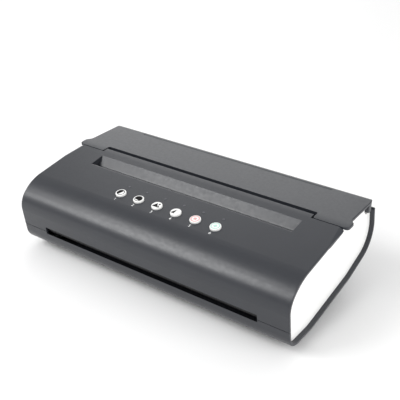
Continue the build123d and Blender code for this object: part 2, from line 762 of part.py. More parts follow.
# Rolled rear edge round the hinge axis
with BuildPart() as lid_roll:
    bar(-lid_half, lid_half, hinge_axis, tail_r)
    fillet(lid_roll.edges().filter_by(GeomType.CIRCLE), radius=edge_round)

with BuildPart() as lid_plan:
    with BuildSketch(Plane.XY.offset(deck_shelf_z)) as plan:
        with Locations((0, lid_front_y)):
            Rectangle(
                2 * lid_half,
                hinge_y + tail_r - press_gap - lid_front_y,
                align=(Align.CENTER, Align.MIN),
            )
        fillet(plan.vertices().group_by(Axis.Y)[-1], radius=lid_rear_corner_r)
        with Locations((0, lid_middle_y)):
            Rectangle(
                2 * (tongue_half + tongue_gap),
                lid_middle_y,
                align=(Align.CENTER, Align.MAX),
                mode=Mode.SUBTRACT,
            )
        fillet(
            plan.vertices().group_by(Axis.Y)[0]
            + plan.vertices().filter_by_position(Axis.Y, lid_middle_y - seam, lid_middle_y + seam),
            radius=lid_corner_r,
        )
    extrude(amount=case_top)

# Thumb tabs: one on each side, with a concave blend behind
with BuildPart() as thumb_tabs:
    with BuildSketch(Plane.XY.offset(deck_shelf_z)) as tab_plan:
        with BuildLine():
            Polyline(
                (lid_half - 2 * edge_round, tab_front_y),
                (lid_half + tab_reach, tab_front_y),
                (lid_half + tab_reach, tab_back_y),
                (lid_half, tab_back_y + tab_reach),
                (lid_half, tab_back_y + tab_reach + tab_blend),
                (lid_half - 2 * edge_round, tab_back_y + tab_reach + tab_blend),
                close=True,
            )
        make_face()
        corners = tab_plan.vertices()
        fillet(corners.sort_by_distance((lid_half + tab_reach, tab_front_y, 0))[0], radius=tab_round)
        fillet(
            tab_plan.vertices().sort_by_distance((lid_half + tab_reach, tab_back_y, 0))[0],
            radius=tab_round,
        )
        fillet(
            tab_plan.vertices().sort_by_distance((lid_half, tab_back_y + tab_reach, 0))[0],
            radius=tab_blend,
        )
    extrude(amount=case_top)
    mirror(about=Plane.YZ)

with BuildPart() as tab_layer:
    with BuildSketch(Plane.YZ):
        add(case_side())
        add(case_side(tab_thickness), mode=Mode.SUBTRACT)
    extrude(amount=half + tab_reach, both=True)
    add(thumb_tabs.part, mode=Mode.INTERSECT)
    fillet(
        tab_layer.edges()
        .filter_by_position(Axis.Y, tab_front_y + seam, tab_back_y)
        .filter_by(lambda e: e.center().Z > lid_z(e.center().Y) - tab_thickness / 2)
        .filter_by(lambda e: abs(e.center().X) > lid_half + tab_reach - tab_round),
        radius=edge_round,
    )

with BuildPart() as lid:
    add(lid_skin.part)
    add(lid_roll.part)
    add(lid_plan.part, mode=Mode.INTERSECT)
    add(tab_layer.part)
    # rim under the middle front edge, and ribs across the lid
    slab(
        [
            (lid_middle_y, lid_z(lid_middle_y) - skin / 2),
            (lid_middle_y, lid_z(lid_middle_y) - skin - lid_rim_depth),
            (lid_middle_y + lid_rim, lid_z(lid_middle_y) - skin - lid_rim_depth),
            (lid_middle_y + lid_rim, lid_z(lid_middle_y) - skin / 2),
        ],
        -bracket_half,
        bracket_half,
    )
    for x in (-lid_half + 3 * skin, -deck_half - 3 * skin, deck_half + 3 * skin, lid_half - 3 * skin):
        slab(
            [
                (lid_middle_y, lid_z(lid_middle_y) - skin / 2),
                (lid_middle_y, lid_z(lid_middle_y) - skin - lid_rib_depth),
                (hinge_y - 3 * tail_r, lid_z(hinge_y - 3 * tail_r) - skin - lid_rib_depth),
                (hinge_y - 2 * tail_r, lid_z(hinge_y - 2 * tail_r) - skin / 2),
            ],
            x - lid_rib / 2,
            x + lid_rib / 2,
        )
    # cut-out round the tray's hinge rail, and the pin holes
    bar(-rail_half - seam, rail_half + seam, hinge_axis, relief_r, mode=Mode.SUBTRACT)
    block(
        -rail_half - seam,
        rail_half + seam,
        hinge_y,
        rear + beyond,
        hinge_z - beyond,
        case_top + beyond,
        mode=Mode.SUBTRACT,
    )
    for side in (-1, 1):
        bar(
            side * rail_half,
            side * (rail_half + seam + knuckle_length),
            hinge_axis,
            hinge_pin_r + run_gap,
            mode=Mode.SUBTRACT,
        )
finish(lid, "lid")

with BuildPart() as hinge_pins:
    for side in (-1, 1):
        bar(
            side * (rail_half - hinge_pin_length / 2),
            side * (rail_half + hinge_pin_length / 2),
            hinge_axis,
            hinge_pin_r,
        )
finish(hinge_pins, "hinge_pins")

# ================================================================== end panels
for name, side in (("left_end_panel", -1), ("right_end_panel", 1)):
    with BuildPart() as end_panel:
        with BuildSketch(Plane.YZ.offset(side * panel_in)):
            add(case_side(skin + seat_gap))
            # stays clear of the lid, its ribs and its rolled rear edge
            with BuildLine():
                Polyline(
                    (lid_front_y - lid_gap, case_top + beyond),
                    (lid_front_y - lid_gap, lid_z(lid_front_y) - skin - move_gap),
                    (rear, lid_z(rear) - skin - move_gap),
                    (rear, case_top + beyond),
                    close=True,
                )
            make_face(mode=Mode.SUBTRACT)
            with Locations(hinge_axis):
                Circle(relief_r, mode=Mode.SUBTRACT)
        extrude(amount=side * panel_wall)
    finish(end_panel, name)

# ================================================================== rubber feet
for (x, y), name in zip(
    foot_places, ("front_left_foot", "rear_left_foot", "front_right_foot", "rear_right_foot")
):
    with BuildPart() as foot:
        with Locations((x, y, 0)):
            Cylinder(foot_r, foot_height, align=on_base)
        fillet(foot.edges().group_by(Axis.Z)[0], radius=foot_set)
    finish(foot, name)

# ================================================================== steel side frames
frame_pins = {-1: [transfer, scan_compound], 1: [platen_compound]}
frame_motor = {-1: scan_motor_axis, 1: platen_motor_axis}
frame_windows = {
    -1: [((8.0, 34.0), 7.0), ((20.0, 50.0), 6.0), ((-46.0, 54.0), 5.0)],
    1: [((-32.0, 46.0), 9.0), ((-30.0, 22.0), 7.0), ((2.0, 30.0), 7.0)],
}
for name, side in (("left_side_frame", -1), ("right_side_frame", 1)):
    with BuildPart() as side_frame:
        with BuildSketch(Plane.YZ.offset(side * frame_x)) as frame_side:
            add(case_side(skin + frame_margin))
            with BuildLine():
                Polyline(
                    (frame_front_y, 0),
                    (frame_back_y, 0),
                    (frame_back_y, outlet_low - frame_margin),
                    (frame_back_y - deck_wall - frame_margin, frame_top),
                    (frame_front_y, frame_top),
                    close=True,
                )
            make_face(mode=Mode.INTERSECT)
            with Locations(scan, exit_axis, platen):
                Circle(bush_r + press_gap, mode=Mode.SUBTRACT)
            with Locations(pinch_axis):
                Circle(pinch_shaft_r + run_gap, mode=Mode.SUBTRACT)
            with Locations(*frame_pins[side]):
                Circle(pin_r + press_gap, mode=Mode.SUBTRACT)
            with Locations(frame_motor[side]):
                Circle(motor_boss_r + press_gap, mode=Mode.SUBTRACT)
            for place, radius in frame_windows[side]:
                with Locations(place):
                    Circle(radius, mode=Mode.SUBTRACT)
        extrude(amount=side * frame_sheet)
        for y, z in frame_tabs:
            block(
                side * (frame_out - frame_sheet / 2),
                side * (frame_out + frame_tab_length),
                y - frame_tab_width / 2,
                y + frame_tab_width / 2,
                z,
                z + frame_sheet,
            )
            with Locations((side * tab_x, y, z)):
                Cylinder(screw_r + seat_gap, 4 * frame_sheet, mode=Mode.SUBTRACT)
    finish(side_frame, name)

with BuildPart() as frame_screws:
    for x, y, z in tab_places:
        with Locations((x, y, z + frame_sheet)):
            Cylinder(screw_head_r, screw_head, align=on_base)
            Cylinder(screw_r, screw_bite - frame_sheet, align=under_top)
finish(frame_screws, "frame_screws")

with BuildPart() as case_screws:
    for x, y in screw_posts:
        with Locations((x, y, screw_seat_z)):
            Cylinder(screw_head_r, screw_head, align=under_top)
            Cylinder(screw_r, seam_height + screw_bite - screw_seat_z, align=on_base)
finish(case_screws, "case_screws")

with BuildPart() as roller_bushes:
    for side in (-1, 1):
        for axis in (scan, exit_axis, platen):
            bar(side * (frame_x - bush_flange), side * frame_x, axis, bush_flange_r)
            bar(side * frame_x, side * (frame_out + gear_lane / 3), axis, bush_r)
            bar(
                side * (frame_x - beyond),
                side * (frame_out + beyond),
                axis,
                shaft_r + run_gap,
                mode=Mode.SUBTRACT,
            )
finish(roller_bushes, "roller_bushes")

with BuildPart() as gear_pins:
    for side in (-1, 1):
        for axis in frame_pins[side]:
            end = shaft_end if axis == transfer else pin_end
            bar(side * frame_x, side * end, axis, pin_r)
finish(gear_pins, "gear_pins")

# ================================================================== print rollers and their gears
with BuildPart() as scan_roller:
    bar(-roller_half, roller_half, scan, scan_r)
    bar(-half, half, scan, shaft_r + press_gap, mode=Mode.SUBTRACT)
finish(scan_roller, "scan_roller")

with BuildPart() as scan_shaft:
    bar(-shaft_end, frame_out + gear_lane, scan, shaft_r)
    chamfer(scan_shaft.edges(), length=shaft_r / 8)
finish(scan_shaft, "scan_shaft")

with BuildPart() as scan_gear:
    gear(scan, scan_teeth, 0.0, -1, inner_lane)
    gear_recess(scan, scan_teeth, shaft_r, -1, inner_lane)
    bar(-half, 0, scan, shaft_r + press_gap, mode=Mode.SUBTRACT)
finish(scan_gear, "scan_gear")

with BuildPart() as exit_roller:
    bar(-shaft_end, frame_out + gear_lane, exit_axis, shaft_r)
    chamfer(exit_roller.edges(), length=shaft_r / 8)
    for x in ring_places:
        bar(x - ring_length / 2, x + ring_length / 2, exit_axis, exit_r)
finish(exit_roller, "exit_roller")

with BuildPart() as exit_gear:
    gear(exit_axis, exit_teeth, exit_turn, -1, inner_lane)
    bar(-half, 0, exit_axis, shaft_r + press_gap, mode=Mode.SUBTRACT)
finish(exit_gear, "exit_gear")

with BuildPart() as pinch_roller:
    bar(-frame_out - gear_lane / 3, frame_out + gear_lane / 3, pinch_axis, pinch_shaft_r)
    for x in ring_places:
        bar(x - ring_length / 2, x + ring_length / 2, pinch_axis, pinch_r)
finish(pinch_roller, "pinch_roller")

with BuildPart() as transfer_gear:
    gear(transfer, transfer_teeth, transfer_turn, -1, inner_lane)
    gear_recess(transfer, transfer_teeth, pin_r, -1, inner_lane)
    with BuildSketch(Plane.YZ.offset(-inner_lane)) as lightening:
        with Locations(transfer):
            with PolarLocations(module * transfer_teeth / 3.4, 6):
                Circle(module * transfer_teeth / 12)
    extrude(lightening.sketch, amount=-gear_width, mode=Mode.SUBTRACT)
    bar(-half, 0, transfer, pin_r + run_gap, mode=Mode.SUBTRACT)
finish(transfer_gear, "transfer_gear")

with BuildPart() as scan_compound_gear:
    gear(scan_compound, small_teeth, scan_small_turn, -1, inner_lane)
    bar(-inner_lane - gear_width, -outer_lane, scan_compound, module * small_teeth / 2 - dedendum)
    gear(scan_compound, large_teeth, scan_small_turn, -1, outer_lane)
    gear_recess(scan_compound, large_teeth, module * small_teeth / 2 - dedendum, -1, outer_lane)
    bar(-half, 0, scan_compound, pin_r + run_gap, mode=Mode.SUBTRACT)
finish(scan_compound_gear, "scan_compound_gear")

with BuildPart() as scan_pinion:
    gear(scan_motor_axis, pinion_teeth, scan_pinion_turn, -1, outer_lane)
    bar(-outer_lane, -(frame_x - motor_shaft_in), scan_motor_axis, motor_shaft_r)
finish(scan_pinion, "scan_pinion")

with BuildPart() as platen_roller:
    bar(-roller_half, roller_half, platen, platen_r)
    bar(-half, half, platen, shaft_r + press_gap, mode=Mode.SUBTRACT)
finish(platen_roller, "platen_roller")

with BuildPart() as platen_shaft:
    bar(-frame_out - gear_lane, shaft_end, platen, shaft_r)
    chamfer(platen_shaft.edges(), length=shaft_r / 8)
finish(platen_shaft, "platen_shaft")

with BuildPart() as platen_gear:
    gear(platen, platen_teeth, 0.0, 1, inner_lane)
    gear_recess(platen, platen_teeth, shaft_r, 1, inner_lane)
    bar(0, half, platen, shaft_r + press_gap, mode=Mode.SUBTRACT)
finish(platen_gear, "platen_gear")

with BuildPart() as platen_compound_gear:
    gear(platen_compound, small_teeth, platen_small_turn, 1, inner_lane)
    bar(inner_lane + gear_width, outer_lane, platen_compound, module * small_teeth / 2 - dedendum)
    gear(platen_compound, large_teeth, platen_small_turn, 1, outer_lane)
    gear_recess(platen_compound, large_teeth, module * small_teeth / 2 - dedendum, 1, outer_lane)
    bar(0, half, platen_compound, pin_r + run_gap, mode=Mode.SUBTRACT)
finish(platen_compound_gear, "platen_compound_gear")

with BuildPart() as platen_pinion:
    gear(platen_motor_axis, pinion_teeth, platen_pinion_turn, 1, outer_lane)
    bar(frame_x - motor_shaft_in, outer_lane, platen_motor_axis, motor_shaft_r)
finish(platen_pinion, "platen_pinion")

for name, side, axis, radius in (
    ("scan_motor", -1, scan_motor_axis, scan_motor_r),
    ("platen_motor", 1, platen_motor_axis, platen_motor_r),
):
    with BuildPart() as motor:
        bar(side * (frame_x - motor_length), side * frame_x, axis, radius)
        chamfer(motor.faces().sort_by(Axis.X)[0 if side > 0 else -1].edges(), length=motor_boss)
        bar(side * frame_x, side * (frame_x + motor_boss), axis, motor_boss_r)
        bar(
            side * (frame_x - motor_shaft_in - motor_boss),
            side * frame_out,
            axis,
            motor_shaft_r + run_gap,
            mode=Mode.SUBTRACT,
        )
    finish(motor, name)

# ================================================================== paper guides and sensor
with BuildPart() as inlet_guide:
    with BuildSketch(Plane.YZ):
        # a quarter ring under the roller, and a straight wall up to the trough
        with Locations(scan):
            Circle(guide_r + sheet)
            Circle(guide_r, mode=Mode.SUBTRACT)
        with BuildLine():
            Polyline(
                scan,
                (scan_y + 2 * guide_r, scan_z),
                (scan_y + 2 * guide_r, scan_z + 2 * guide_r * sin(radians(guide_end))),
                (
                    scan_y + 2 * guide_r * cos(radians(guide_end)),
                    scan_z + 2 * guide_r * sin(radians(guide_end)),
                ),
                close=True,
            )
        make_face(mode=Mode.INTERSECT)
        with Locations((scan_y + guide_r, scan_z)):
            Rectangle(sheet, throat_z - seat_gap - scan_z, align=(Align.MIN, Align.MIN))
    extrude(amount=span_half, both=True)
    # ears that carry the document lever, and its window
    for x in (lever_x - lever_width, lever_x + lever_width):
        with BuildSketch(Plane.YZ.offset(x - lever_ear / 2)) as ear:
            with Locations((document_pivot_y, document_pivot_z)):
                Circle(lever_ear_r)
            with BuildLine():
                Polyline(
                    (throat_back_y + sheet / 2, document_pivot_z + seam),
                    (document_pivot_y, document_pivot_z + seam),
                    (document_pivot_y + lever_ear_r, document_pivot_z),
                    (throat_back_y + sheet / 2, scan_z),
                    close=True,
                )
            make_face()
            with Locations((document_pivot_y, document_pivot_z)):
                Circle(lever_r + run_gap, mode=Mode.SUBTRACT)
        extrude(ear.sketch, amount=lever_ear)
    block(
        lever_x - lever_width / 2 - move_gap,
        lever_x + lever_width / 2 + move_gap,
        throat_back_y - sheet,
        throat_back_y + 2 * sheet,
        scan_z - sheet,
        throat_z - seat_gap,
        mode=Mode.SUBTRACT,
    )
finish(inlet_guide, "inlet_guide")

chute_start_y = sensor_front_y - seat_gap
chute_end_y = chin[0] + (seam_height - chin[1]) * wall_run + skin + chute_drop + seam
chute_top = [
    (y, on_line(path_start, path_end, y) - chute_drop) for y in (chute_end_y, chute_start_y)
]
with BuildPart() as paper_chute:
    slab(strip(chute_top, sheet), -span_half, span_half)
    # windows for the pinch rollers
    for x in ring_places:
        block(
            x - ring_length / 2 - move_gap - sheet / 2,
            x + ring_length / 2 + move_gap + sheet / 2,
            pinch_y - pinch_r - move_gap,
            pinch_y + pinch_r + move_gap,
            0,
            scan_z,
            mode=Mode.SUBTRACT,
        )
    # stiffening ribs underneath, at both edges of the windows
    for x in ring_places:
        for side in (-1, 1):
            edge = x + side * (ring_length / 2 + move_gap + sheet)
            slab(
                [
                    (chute_top[1][0] - sheet, chute_top[1][1] - sheet / 2),
                    (chute_top[1][0] - sheet, chute_top[1][1] - 2 * sheet),
                    (pinch_y + pinch_shaft_r + 2 * sheet, chute_top[1][1] - 5 * sheet),
                    (
                        pinch_y + pinch_shaft_r + 2 * sheet,
                        on_line(*chute_top, pinch_y + pinch_shaft_r + 2 * sheet) - sheet / 2,
                    ),
                ],
                edge - sheet / 2,
                edge + sheet / 2,
            )
finish(paper_chute, "paper_chute")

glass_y = (sensor_front_y + sensor_back_y) / 2
with BuildPart() as image_sensor:
    block(-span_half, span_half, sensor_front_y, sensor_back_y, sensor_top - sensor_height, sensor_top)
    chamfer(image_sensor.edges().filter_by(Axis.X).group_by(Axis.Z)[-1], length=seam)
    block(
        -roller_half - press_gap,
        roller_half + press_gap,
        glass_y - glass_width / 2 - press_gap,
        glass_y + glass_width / 2 + press_gap,
        glass_top - glass,
        scan_z,
        mode=Mode.SUBTRACT,
    )
finish(image_sensor, "image_sensor")

with BuildPart() as sensor_glass:
    block(
        -roller_half,
        roller_half,
        glass_y - glass_width / 2,
        glass_y + glass_width / 2,
        glass_top - glass,
        glass_top,
    )
finish(sensor_glass, "sensor_glass")

# ================================================================== stencil deck
slot_front_y, slot_back_y = platen_y - deck_slot / 2, platen_y + deck_slot / 2
deck_end_y = rear - skin - tail_setback / 2
deck_line = [
    (deck_front_y, deck_front_z),
    (deck_ramp_foot_y, deck_ramp_foot_z),
    (slot_back_y, deck_ramp_foot_z - deck_step),
    (deck_end_y, deck_back_z),
]
deck_side_end_y = deck_end_y - deck_wall
deck_over_pivot = on_line(*deck_line[:2], stencil_pivot_y)
tongue_low = lid_z(deck_front_y) - skin - seat_gap - seam
with BuildPart() as stencil_deck:
    slab(strip(deck_line, deck_wall), -deck_half - deck_wall, deck_half + deck_wall)
    # front wall up to the tongue, side walls and the shelves over the gear trains
    block(
        -deck_half - deck_wall,
        deck_half + deck_wall,
        deck_front_y - deck_wall,
        deck_front_y,
        deck_front_z - deck_wall,
        tongue_low,
    )
    for side in (-1, 1):
        slab(
            [
                (deck_front_y - deck_wall, deck_shelf_z + deck_wall),
                (deck_front_y - deck_wall, deck_front_z - deck_wall),
                (deck_ramp_foot_y, deck_ramp_foot_z - deck_wall),
                (slot_back_y, deck_ramp_foot_z - deck_step - deck_wall),
                (deck_side_end_y, on_line(*deck_line[2:], deck_side_end_y) - deck_wall),
                (deck_side_end_y, deck_shelf_z + deck_wall),
            ],
            side * deck_half,
            side * (deck_half + deck_wall),
        )
        block(
            side * deck_half,
            side * deck_shelf_half,
            deck_front_y - deck_wall,
            hinge_y - relief_r - seam,
            deck_shelf_z,
            deck_shelf_z + deck_wall,
        )
    bar(-half, half, hinge_axis, relief_r + seam, mode=Mode.SUBTRACT)
    block(
        -deck_slot_half,
        deck_slot_half,
        slot_front_y,
        slot_back_y,
        platen_z,
        deck_shelf_z,
        mode=Mode.SUBTRACT,
    )
    for x in (lever_x - lever_width, lever_x + lever_width):
        with BuildSketch(Plane.YZ.offset(x - lever_ear / 2)) as ear:
            with Locations((stencil_pivot_y, stencil_pivot_z)):
                Circle(lever_ear_r)
            with BuildLine():
                Polyline(
                    (stencil_pivot_y - lever_ear_r, stencil_pivot_z),
                    (stencil_pivot_y + lever_ear_r, stencil_pivot_z),
                    (stencil_pivot_y + lever_ear_r, deck_over_pivot - deck_wall),
                    (stencil_pivot_y - lever_ear_r, deck_over_pivot - deck_wall / 2),
                    close=True,
                )
            make_face()
            with Locations((stencil_pivot_y, stencil_pivot_z)):
                Circle(lever_r + run_gap, mode=Mode.SUBTRACT)
        extrude(ear.sketch, amount=lever_ear)
    block(
        lever_x - lever_width / 2 - move_gap,
        lever_x + lever_width / 2 + move_gap,
        stencil_pivot_y - seam,
        slot_front_y - deck_wall,
        platen_z,
        deck_shelf_z,
        mode=Mode.SUBTRACT,
    )
finish(stencil_deck, "stencil_deck")

# ================================================================== paper levers
for name, pivot, tip in (
    ("document_lever", (document_pivot_y, document_pivot_z), (document_tip_y, document_tip_z)),
    ("stencil_lever", (stencil_pivot_y, stencil_pivot_z), (stencil_tip_y, stencil_tip_z)),
):
    reach = hypot(tip[0] - pivot[0], tip[1] - pivot[1])
    lean = degrees(atan2(tip[1] - pivot[1], tip[0] - pivot[0]))
    ear_out = lever_width + lever_ear / 2
    with BuildPart() as lever:
        bar(lever_x - ear_out, lever_x + ear_out, pivot, lever_r)
        with BuildSketch(Plane.YZ.offset(lever_x - lever_width / 2)) as arm:
            with Locations(Location((*pivot, 0), (0, 0, lean))):
                with Locations((reach / 2, 0)):
                    Rectangle(reach - lever_arm / 2, lever_arm)
                with Locations((reach - lever_arm / 2, 0)):
                    Circle(lever_arm / 2)
            with Locations(pivot):
                Circle(lever_r + lever_arm / 2)
        extrude(arm.sketch, amount=lever_width)
    finish(lever, name)

# ================================================================== print head
with BuildPart() as heater_board:
    block(
        -heater_half,
        heater_half,
        platen_y - heater_width / 2,
        platen_y + heater_width / 2,
        head_z,
        sink_z,
    )
finish(heater_board, "heater_board")

with BuildPart() as print_head:
    block(-sink_half, sink_half, platen_y - sink_width / 2, platen_y + sink_width / 2, sink_z, base_top)
    for dy in fin_offsets:
        y = platen_y + dy
        block(-sink_half, sink_half, y - fin / 2, y + fin / 2, sink_z + sink_base / 2, sink_top)
    # guide lugs at the ends
    for side in (-1, 1):
        block(
            side * (sink_half - lug_length),
            side * sink_half,
            platen_y - 2 * lug_r,
            platen_y + 2 * lug_r,
            sink_z + sink_base / 2,
            lug_z + lug_r,
        )
        bar(side * (sink_half - lug_length / 2), side * (sink_half + lug_length), (platen_y, lug_z), lug_r)
finish(print_head, "print_head")

bracket_front, bracket_back = platen_y - bracket_width / 2, platen_y + bracket_width / 2
with BuildPart() as head_bracket:
    block(-bracket_half, bracket_half, bracket_front, bracket_back, bracket_low, bracket_top)
    block(
        -bracket_half + bracket_sheet,
        bracket_half - bracket_sheet,
        bracket_front + bracket_sheet,
        bracket_back - bracket_sheet,
        bracket_low - beyond,
        bracket_top - bracket_sheet,
        mode=Mode.SUBTRACT,
    )
    # slots that hold the guide lugs
    for side in (-1, 1):
        with BuildSketch(Plane.YZ.offset(side * (bracket_half - 2 * bracket_sheet))) as lug_slot:
            with Locations((platen_y, lug_z + head_travel / 2)):
                Rectangle(2 * lug_r + 2 * move_gap, 2 * lug_r + head_travel + 2 * move_gap)
        extrude(lug_slot.sketch, amount=side * beyond, mode=Mode.SUBTRACT)
finish(head_bracket, "head_bracket")

# Bow springs between the bracket and the heat sink
spring_low, spring_high = base_top + nip / 2, bracket_top - bracket_sheet - nip / 2
with BuildPart() as head_springs:
    for x in spring_places:
        with BuildSketch(Plane.XZ.offset(-platen_y + -spring_width / 2)) as bow:
            with BuildLine():
                ThreePointArc(
                    (x - spring_span / 2, spring_low),
                    (x, spring_high),
                    (x + spring_span / 2, spring_low),
                )
                Line((x + spring_span / 2, spring_low), (x + spring_span / 2 - spring_sheet, spring_low))
                ThreePointArc(
                    (x + spring_span / 2 - spring_sheet, spring_low),
                    (x, spring_high - spring_sheet),
                    (x - spring_span / 2 + spring_sheet, spring_low),
                )
                Line((x - spring_span / 2 + spring_sheet, spring_low), (x - spring_span / 2, spring_low))
            make_face()
        extrude(bow.sketch, amount=spring_width)
finish(head_springs, "head_springs")

# ================================================================== buttons and indicators
for i, x in enumerate(button_xs):
    with BuildPart(panel_plane) as button:
        with Locations((x, 0, -flange_top)):
            Cylinder(cap_r, flange_top + cap_proud, align=on_base)
        fillet(button.edges().group_by(panel_normal)[-1], radius=cap_edge_r)
        with Locations((x, 0, -flange_top)):
            Cylinder(cap_flange_r, cap_flange, align=under_top)
        with Locations((x, 0, -flange_low)):
            Cylinder(cap_stem_r, cap_stem, align=under_top)
    finish(button, f"button_{i + 1}")

with BuildPart(panel_plane) as indicator_lenses:
    for x in button_xs:
        with Locations((x, lamp_row, lamp_proud)):
            Cylinder(lamp_r, lamp_proud + lamp_length, align=under_top)
        with Locations((x, lamp_row, -skin - seat_gap)):
            Cylinder(lamp_flange_r, lamp_flange, align=under_top)
finish(indicator_lenses, "indicator_lenses")

with BuildPart(panel_plane) as control_board:
    with Locations((0, lamp_row / 2, -board_top)):
        Box(control_board_x, control_board_y, board, align=under_top)
    with Locations(*[(x, y, -board_top) for x, y in control_posts]):
        Cylinder(screw_r, 4 * board, mode=Mode.SUBTRACT)
    # light-emitting diodes under the lenses, and the ribbon connector below
    with Locations(*[(x, lamp_row, -board_top) for x in button_xs]):
        Box(2.4, 1.6, board_top - lamp_length - seat_gap, align=on_base)
    with Locations((0, lamp_row / 2, -board_low)):
        Box(26.0, 6.0, 5.0, align=under_top)
finish(control_board, "control_board")

with BuildPart(panel_plane) as tact_switches:
    for x in button_xs:
        with Locations((x, 0, -board_top)):
            Box(switch_size, switch_size, switch_height, align=on_base)
        with Locations((x, 0, -switch_top)):
            Cylinder(switch_knob_r, switch_knob, align=on_base)
finish(tact_switches, "tact_switches")

# ================================================================== boards in the tray
with BuildPart() as power_board:
    block(power_board_x0, power_board_x1, board_y0, board_y1, board_z, board_z + board)
    power_top = board_z + board
    # transformer on its core, capacitors and the rectifier's cooling plate
    core_x, core_y = power_board_x0 + 61, board_y0 + 17
    with Locations((core_x, core_y, power_top)):
        Box(26, 24, 19, align=on_base)
    with Locations((core_x, core_y, power_top + 3)):
        Box(22, 30, 13, align=on_base)
    for x, y, radius, height in (
        (power_board_x0 + 20, board_y0 + 10, 6.0, 19.0),
        (power_board_x0 + 34, board_y0 + 10, 6.0, 19.0),
        (power_board_x1 - 16, board_y0 + 25, 4.0, 14.0),
    ):
        with Locations((x, y, power_top)):
            Cylinder(radius, height, align=on_base)
    with Locations((power_board_x1 - 14, board_y0 + 4, power_top)):
        Box(16, 2, 18, align=on_base)
    with Locations(*[(x, y, board_z) for x, y in board_posts if x < 0]):
        Cylinder(screw_r, 4 * board, mode=Mode.SUBTRACT)
finish(power_board, "power_board")

with BuildPart() as main_board:
    block(main_board_x0, main_board_x1, board_y0, board_y1, board_z, board_z + board)
    # chips and connectors, placed from the board's corner, and one capacitor
    for x, y, length, width, height in (
        (44, 17, 14, 14, 1.4),
        (24, 11, 10, 7, 1.2),
        (68, 23, 12, 8, 2.0),
        (28, 31, 22, 4, 6.0),
        (62, 5, 20, 4, 6.0),
    ):
        with Locations((main_board_x0 + x, board_y0 + y, board_z + board)):
            Box(length, width, height, align=on_base)
    with Locations((main_board_x1 - 12, board_y0 + 13, board_z + board)):
        Cylinder(3.5, 9.0, align=on_base)
    with Locations(*[(x, y, board_z) for x, y in board_posts if x > 0]):
        Cylinder(screw_r, 4 * board, mode=Mode.SUBTRACT)
finish(main_board, "main_board")

# ================================================================== inlet and power switch
mouth_half, body_half = inlet_mouth_w / 2, inlet_mouth_w / 2 + inlet_body
bezel_y = well_floor_y + seat_gap
with BuildPart() as power_inlet:
    with BuildSketch(Plane.XZ.offset(-bezel_y - inlet_bezel)) as bezel:
        with Locations((inlet_x, well_z)):
            RectangleRounded(inlet_w, inlet_h, inlet_bezel)
    extrude(bezel.sketch, amount=inlet_bezel)
    block(
        inlet_x - body_half,
        inlet_x + body_half,
        bezel_y - inlet_body_depth,
        bezel_y,
        well_z - inlet_mouth_h / 2 - inlet_body,
        well_z + inlet_mouth_h / 2 + inlet_body,
    )
    with BuildSketch(Plane.XZ.offset(-bezel_y - inlet_bezel)) as mouth:
        with Locations((inlet_x, well_z)):
            SlotOverall(inlet_mouth_w, inlet_mouth_h)
    extrude(mouth.sketch, amount=inlet_bezel + inlet_mouth_depth, mode=Mode.SUBTRACT)
    mouth_floor = bezel_y - inlet_mouth_depth
    for x in (inlet_x - contact_pitch / 2, inlet_x + contact_pitch / 2):
        with BuildSketch(Plane.XZ.offset(-mouth_floor)) as contact:
            with Locations((x, well_z)):
                Circle(contact_r)
        extrude(contact.sketch, amount=-contact_length)
        extrude(contact.sketch, amount=inlet_body_depth - inlet_mouth_depth + contact_length / 2)
finish(power_inlet, "power_inlet")

with BuildPart() as switch_frame:
    with BuildSketch(Plane.XZ.offset(-bezel_y - rocker_bezel)) as bezel:
        with Locations((rocker_x, well_z)):
            RectangleRounded(rocker_w, rocker_h, rocker_bezel)
    extrude(bezel.sketch, amount=rocker_bezel)
    block(
        rocker_x - paddle_w / 2 - rocker_body,
        rocker_x + paddle_w / 2 + rocker_body,
        bezel_y - rocker_body_depth,
        bezel_y,
        well_z - paddle_h / 2 - rocker_body,
        well_z + paddle_h / 2 + rocker_body,
    )
    block(
        rocker_x - paddle_w / 2,
        rocker_x + paddle_w / 2,
        bezel_y - rocker_body_depth + rocker_body,
        rear + beyond,
        well_z - paddle_h / 2,
        well_z + paddle_h / 2,
        mode=Mode.SUBTRACT,
    )
finish(switch_frame, "switch_frame")

# The paddle rocks about X on two short pins
rocker_y = bezel_y - paddle_r / 2
with BuildPart() as rocker_switch:
    with BuildSketch(Plane.YZ.offset(rocker_x - paddle_w / 2 + move_gap)) as paddle:
        with Locations((rocker_y, well_z)):
            Circle(paddle_h / 2 - move_gap)
        with BuildLine():
            Polyline(
                (rocker_y, well_z - paddle_h / 2 + move_gap),
                (bezel_y + rocker_bezel - 0.6, well_z - paddle_h / 2 + move_gap + 0.6),
                (bezel_y + rocker_bezel - 0.2, well_z),
                (bezel_y + rocker_bezel - 0.6, well_z + paddle_h / 2 - move_gap - 0.6),
                (rocker_y, well_z + paddle_h / 2 - move_gap),
                close=True,
            )
        make_face()
    extrude(paddle.sketch, amount=paddle_w - 2 * move_gap)
finish(rocker_switch, "rocker_switch")
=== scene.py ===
"""Looks of a thermal stencil copier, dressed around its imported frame.

Metres. +X is the right end, -Y the front with the paper slot, +Z up.
"""

import json
import logging
import math
from collections.abc import Sequence
from dataclasses import dataclass
from enum import Enum

import bmesh
import bpy
from mathutils import Matrix, Vector

